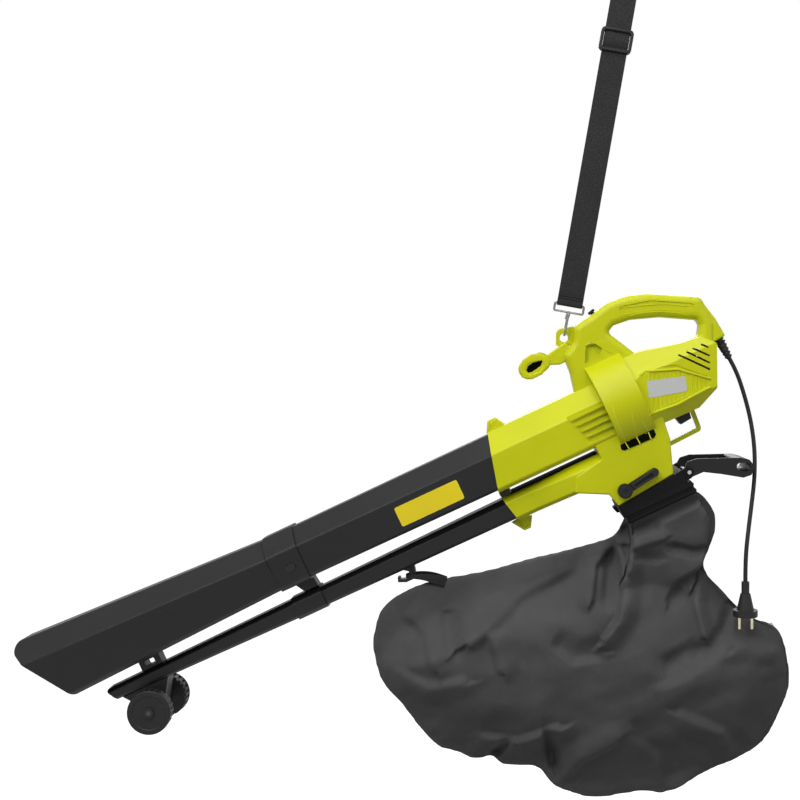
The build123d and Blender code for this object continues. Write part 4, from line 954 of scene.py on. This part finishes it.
# low scallops along the top of the grip
scallops = {"from": -0.046, "to": 0.052, "count": 8, "size": (0.0066, 0.0085, 0.0040), "proud": 0.0012,
            "probe": (-0.0005, 0.3)}
bumps = []
for number in range(scallops["count"]):
    x = scallops["from"] + (scallops["to"] - scallops["from"]) * number / (scallops["count"] - 1)
    spot, normal, _, _ = housingSkin.ray_cast(Vector((x, *scallops["probe"])), Vector((0, 0, -1)))
    place = spot + normal * (scallops["proud"] - scallops["size"][2])
    place.y = 0
    bumps.append(pebble(24, 12, scallops["size"], math.atan2(normal.x, normal.z), place))
gripScallops = joined(bumps, "gripScallops")
dress(gripScallops, limePlastic)
print("housing details laid")

# grip of the mode lever: a grooved bar and a ring round its hub
lever = {
    "pivot": (-0.0448, -0.2802), "turn": 33, "solid": (0.0040, 0.0012), "proud": 0.0005,
    "hub": 0.0085, "hubHole": 0.0035, "hubSolid": (0.0022, 0.0008),
    "bar": [(0.013, -0.0046), (0.030, -0.0052), (0.052, -0.0062), (0.0565, -0.0045), (0.0565, 0.0048),
            (0.051, 0.0062), (0.030, 0.0050), (0.013, 0.0046)],
    "groove": [(0.017, -0.0016), (0.048, -0.0022), (0.048, 0.0022), (0.017, 0.0016)],
}


def alongLever(line):
    (x, z), turn = lever["pivot"], math.radians(lever["turn"])
    return [(x + along * math.cos(turn) - across * math.sin(turn),
             z + along * math.sin(turn) + across * math.cos(turn)) for along, across in line]


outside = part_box("mode_selector")[0][1]
leverGrip = joined([
    plate("leverBar", alongLever(lever["bar"]), [alongLever(lever["groove"])], lever["solid"],
          outside + lever["proud"]),
    plate("leverHub", circleLine(lever["pivot"], lever["hub"]),
          [circleLine(lever["pivot"], lever["hubHole"])], lever["hubSolid"], outside),
], "leverGrip")
dress(leverGrip, blackPlastic, "selector")

# two lips round the collar, and the skirt they stand on: lift, half height, inset
collarLip = {"rings": [(0.0022, 0.0017, 0), (0.0120, 0.0017, 0), (0.0080, 0.0095, 0.0016)], "long": 0.1148,
             "wide": 0.1108, "corner": 0.008, "cornerShrink": 0.8, "wall": 0.006, "rounding": 0.0007}


def collarRing(shrink):
    return roundedBox(collarLip["long"] - 2 * shrink, collarLip["wide"] - 2 * shrink,
                      collarLip["corner"] - collarLip["cornerShrink"] * shrink, 6)


lips = []
for lift, half, inset in collarLip["rings"]:
    lip = flatRing("lip", [collarRing(inset), collarRing(collarLip["wall"])], half, collarLip["rounding"])
    lip.rotation_euler = (0, collarTurn, 0)
    lip.location = collarMiddle + collarUp * lift
    settle(lip)
    lips.append(merged(lip))
collarLips = joined(lips, "collarLips")
dress(collarLips, collarPlastic)

# rings of the lead's bend relief
relief = {"exit": (0.1231, 0, -0.07944), "way": (0.471, 0, -0.882), "rings": 5, "pitch": 0.0062,
          "first": 0.003, "radius": (0.0046, 0.0062), "thick": 0.0017}
rings = []
way = Vector(relief["way"]).normalized()
for number in range(relief["rings"]):
    share = number / (relief["rings"] - 1)
    clearSelection()
    bpy.ops.mesh.primitive_torus_add(
        location=Vector(relief["exit"]) - way * (relief["first"] + relief["pitch"] * number),
        rotation=way.to_track_quat("Z", "Y").to_euler(), major_segments=28, minor_segments=8,
        major_radius=relief["radius"][0] + (relief["radius"][1] - relief["radius"][0]) * share,
        minor_radius=relief["thick"])
    ring = bpy.context.object
    settle(ring)
    rings.append(ring)
reliefRings = joined(rings, "reliefRings")
dress(reliefRings, leadRubber)
print("lever, collar and lead relief finished")

# smooth dished disc over the outer face of each wheel
wheelDisc = {
    "rim": 0.0006, "sunk": 0.002, "wall": 0.0030, "hub": 0.0075,
    # inset, then move outwards
    "rimSteps": [(0.0014, 0.0012), (0.0055, 0), (0.0015, -0.0012)],
    "hubSteps": [(0.0008, 0.0016), (0.0030, 0), (0.0008, -0.0008)],
}
for side, body in (("wheel_left", "left_wheel"), ("wheel_right", "right_wheel")):
    lowCorner, highCorner = (Vector(corner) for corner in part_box(side))
    middle = (lowCorner + highCorner) / 2
    radius = (highCorner.x - lowCorner.x) / 2 + wheelDisc["rim"]
    out = -1 if side == "wheel_left" else 1
    face = lowCorner.y if out < 0 else highCorner.y
    clearSelection()
    bpy.ops.mesh.primitive_circle_add(
        vertices=72, radius=radius, fill_type="NGON",
        location=(middle.x, face - out * wheelDisc["sunk"], middle.z), rotation=(math.radians(90), 0, 0))
    disc = bpy.context.object
    disc.name = "disc" + side.split("_")[1].capitalize()
    settle(disc)
    openEdit(disc)
    bpy.ops.mesh.extrude_region_move(TRANSFORM_OT_translate={"value": (0, out * wheelDisc["wall"], 0)})
    web = radius - wheelDisc["hub"] - sum(inset for inset, _ in wheelDisc["rimSteps"])
    for inset, rise in wheelDisc["rimSteps"] + [(web, 0)] + wheelDisc["hubSteps"]:
        bpy.ops.mesh.inset(thickness=inset)
        bpy.ops.transform.translate(value=(0, out * rise, 0))
    closeEdit()
    dress(disc, wheelPlastic, body)
print("wheel discs fitted")

# raised ring at the front end of the tube sleeve, laid on the front suction tube
sleeveRing = {
    "line": [(-0.6068, -0.3680), (-0.6040, -0.3800), (-0.5986, -0.3962), (-0.5880, -0.4150),
             (-0.5768, -0.4335)],
    "radius": 0.0011, "sink": 0.0001,
}
tubeSkin = skinOf("front_suction_tube")
tubeRing = mirrored(joined([bead(sleeveRing["line"], sleeveRing["radius"], sleeveRing["sink"], tubeSkin)],
                           "tubeRing"))
dress(tubeRing, blackPlastic)
print("sleeve ring laid")

# hanging loop of the bag: a flat band over the hook, both ends sewn into the seam
hangLoop = {  # the fourth number widens the band
    "line": [(-0.318, -0.005, -0.4275, 1.5), (-0.334, -0.0115, -0.4215, 1.25),
             (-0.352, -0.0130, -0.4175, 0.9), (-0.370, -0.0125, -0.4172, 0.6),
             (-0.3795, -0.0060, -0.4178, 0.5), (-0.3795, 0.0060, -0.4178, 0.5),
             (-0.370, 0.0125, -0.4172, 0.6), (-0.352, 0.0130, -0.4175, 0.9), (-0.334, 0.0115, -0.4215, 1.25),
             (-0.318, 0.005, -0.4275, 1.5)],
    "half": 0.0046, "thickness": 0.0008,
}
loopCurve = newCurve("bagHangLoop", "3D", twist_mode="Z_UP", extrude=hangLoop["half"],
                     bevel_depth=hangLoop["thickness"], bevel_resolution=2, use_fill_caps=True)
run = addRun(loopCurve, "NURBS", [spot[:3] for spot in hangLoop["line"]], order_u=3, use_endpoint_u=True,
             resolution_u=8)
for point, spot in zip(run.points, hangLoop["line"]):
    point.radius = spot[3]
bagHangLoop = merged(toMesh("bagHangLoop", loopCurve))
dress(bagHangLoop, strapWebbing)
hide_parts("bag_loop")

# zip along the right seam of the bag
zipSeam = {
    "line": [(0.112, -0.4445), (0.134, -0.4695), (0.163, -0.488), (0.1915, -0.4995), (0.2065, -0.5255),
             (0.2115, -0.549), (0.2135, -0.583), (0.1985, -0.627), (0.173, -0.6725)],
    "front": -0.0015, "radius": 0.0022,
}
zipCurve = newCurve("bagZip", "3D", bevel_depth=zipSeam["radius"], bevel_resolution=2, use_fill_caps=True)
addRun(zipCurve, "NURBS", [(x, zipSeam["front"], z) for x, z in zipSeam["line"]], order_u=3,
       use_endpoint_u=True, resolution_u=10)
bagZip = merged(toMesh("bagZip", zipCurve))
dress(bagZip, zipTeeth)
print("bag loop and zip sewn")

# stitch rows across the strap, above the bail; their near-black thread is real stitching and also painted
# shade, the shadow line at the hem's end
stitching = {"rows": [0.0600, 0.0642], "count": 19, "span": 0.0365, "size": (0.0009, 0.0004, 0.0005),
             "face": -0.0030}
stitches = []
for row in stitching["rows"]:
    for number in range(stitching["count"]):
        place = onStrap(stitching["span"] * (number / (stitching["count"] - 1) - 0.5), row)
        place.y = stitching["face"]
        stitches.append(pebble(8, 5, stitching["size"], strapTurn, place))
strapStitches = joined(stitches, "strapStitches")
dress(strapStitches, stitchThreadAndShade, "strap")
print("strap stitched")

# buckle on the strap: a rounded ring before and behind it, and the webbing swelling through the front one
buckle = {
    "station": 0.470, "wide": 0.0510, "high": 0.0370, "corner": 0.0068, "bar": 0.0048, "innerCorner": 0.00374,
    "rounding": 0.00126, "front": (-0.0050, -0.0014), "back": (0.0042, 0.0068),
    "rail": (0.0206, 0.0253, 0.0120, 0.0008),  # near and far edge, half length, rounding
    "swell": [(-0.0002, -0.0140), (-0.0009, -0.0112), (-0.0024, -0.0070), (-0.0034, 0), (-0.0024, 0.0070),
              (-0.0009, 0.0112), (-0.0002, 0.0140)],
    "swellWidth": 0.0385,
}


def onBuckle(line):
    spots = [onStrap(across, buckle["station"] + up) for across, up in line]
    return [(spot.x, spot.z) for spot in spots]


wide, high, bar = buckle["wide"], buckle["high"], buckle["bar"]
outer = onBuckle(roundedBox(wide, high, buckle["corner"], 9))
inner = onBuckle(roundedBox(wide - 2 * bar, high - 2 * bar, buckle["innerCorner"], 9))
rings = [plate("ring", outer, [inner], ((back - front) / 2, buckle["rounding"]), (front + back) / 2)
         for front, back in (buckle["front"], buckle["back"])]
near, far, reach, railRounding = buckle["rail"]
front, back = buckle["front"][0], buckle["back"][1]
for side in (-1, 1):
    corners = onBuckle([(side * near, -reach), (side * far, -reach), (side * far, reach),
                        (side * near, reach)])
    rings.append(plate("rail", corners, [], ((back - front) / 2 - railRounding, railRounding),
                       (back + front) / 2))
strapBuckle = joined(rings, "strapBuckle")
dress(strapBuckle, darkPlastic, "slider")
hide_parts("strap_slider")
buckleFold = strapRibbon("buckleFold", [(across, buckle["station"] + up) for across, up in buckle["swell"]],
                         buckle["swellWidth"])
dress(buckleFold, strapWebbing, "slider")
print("buckle threaded")
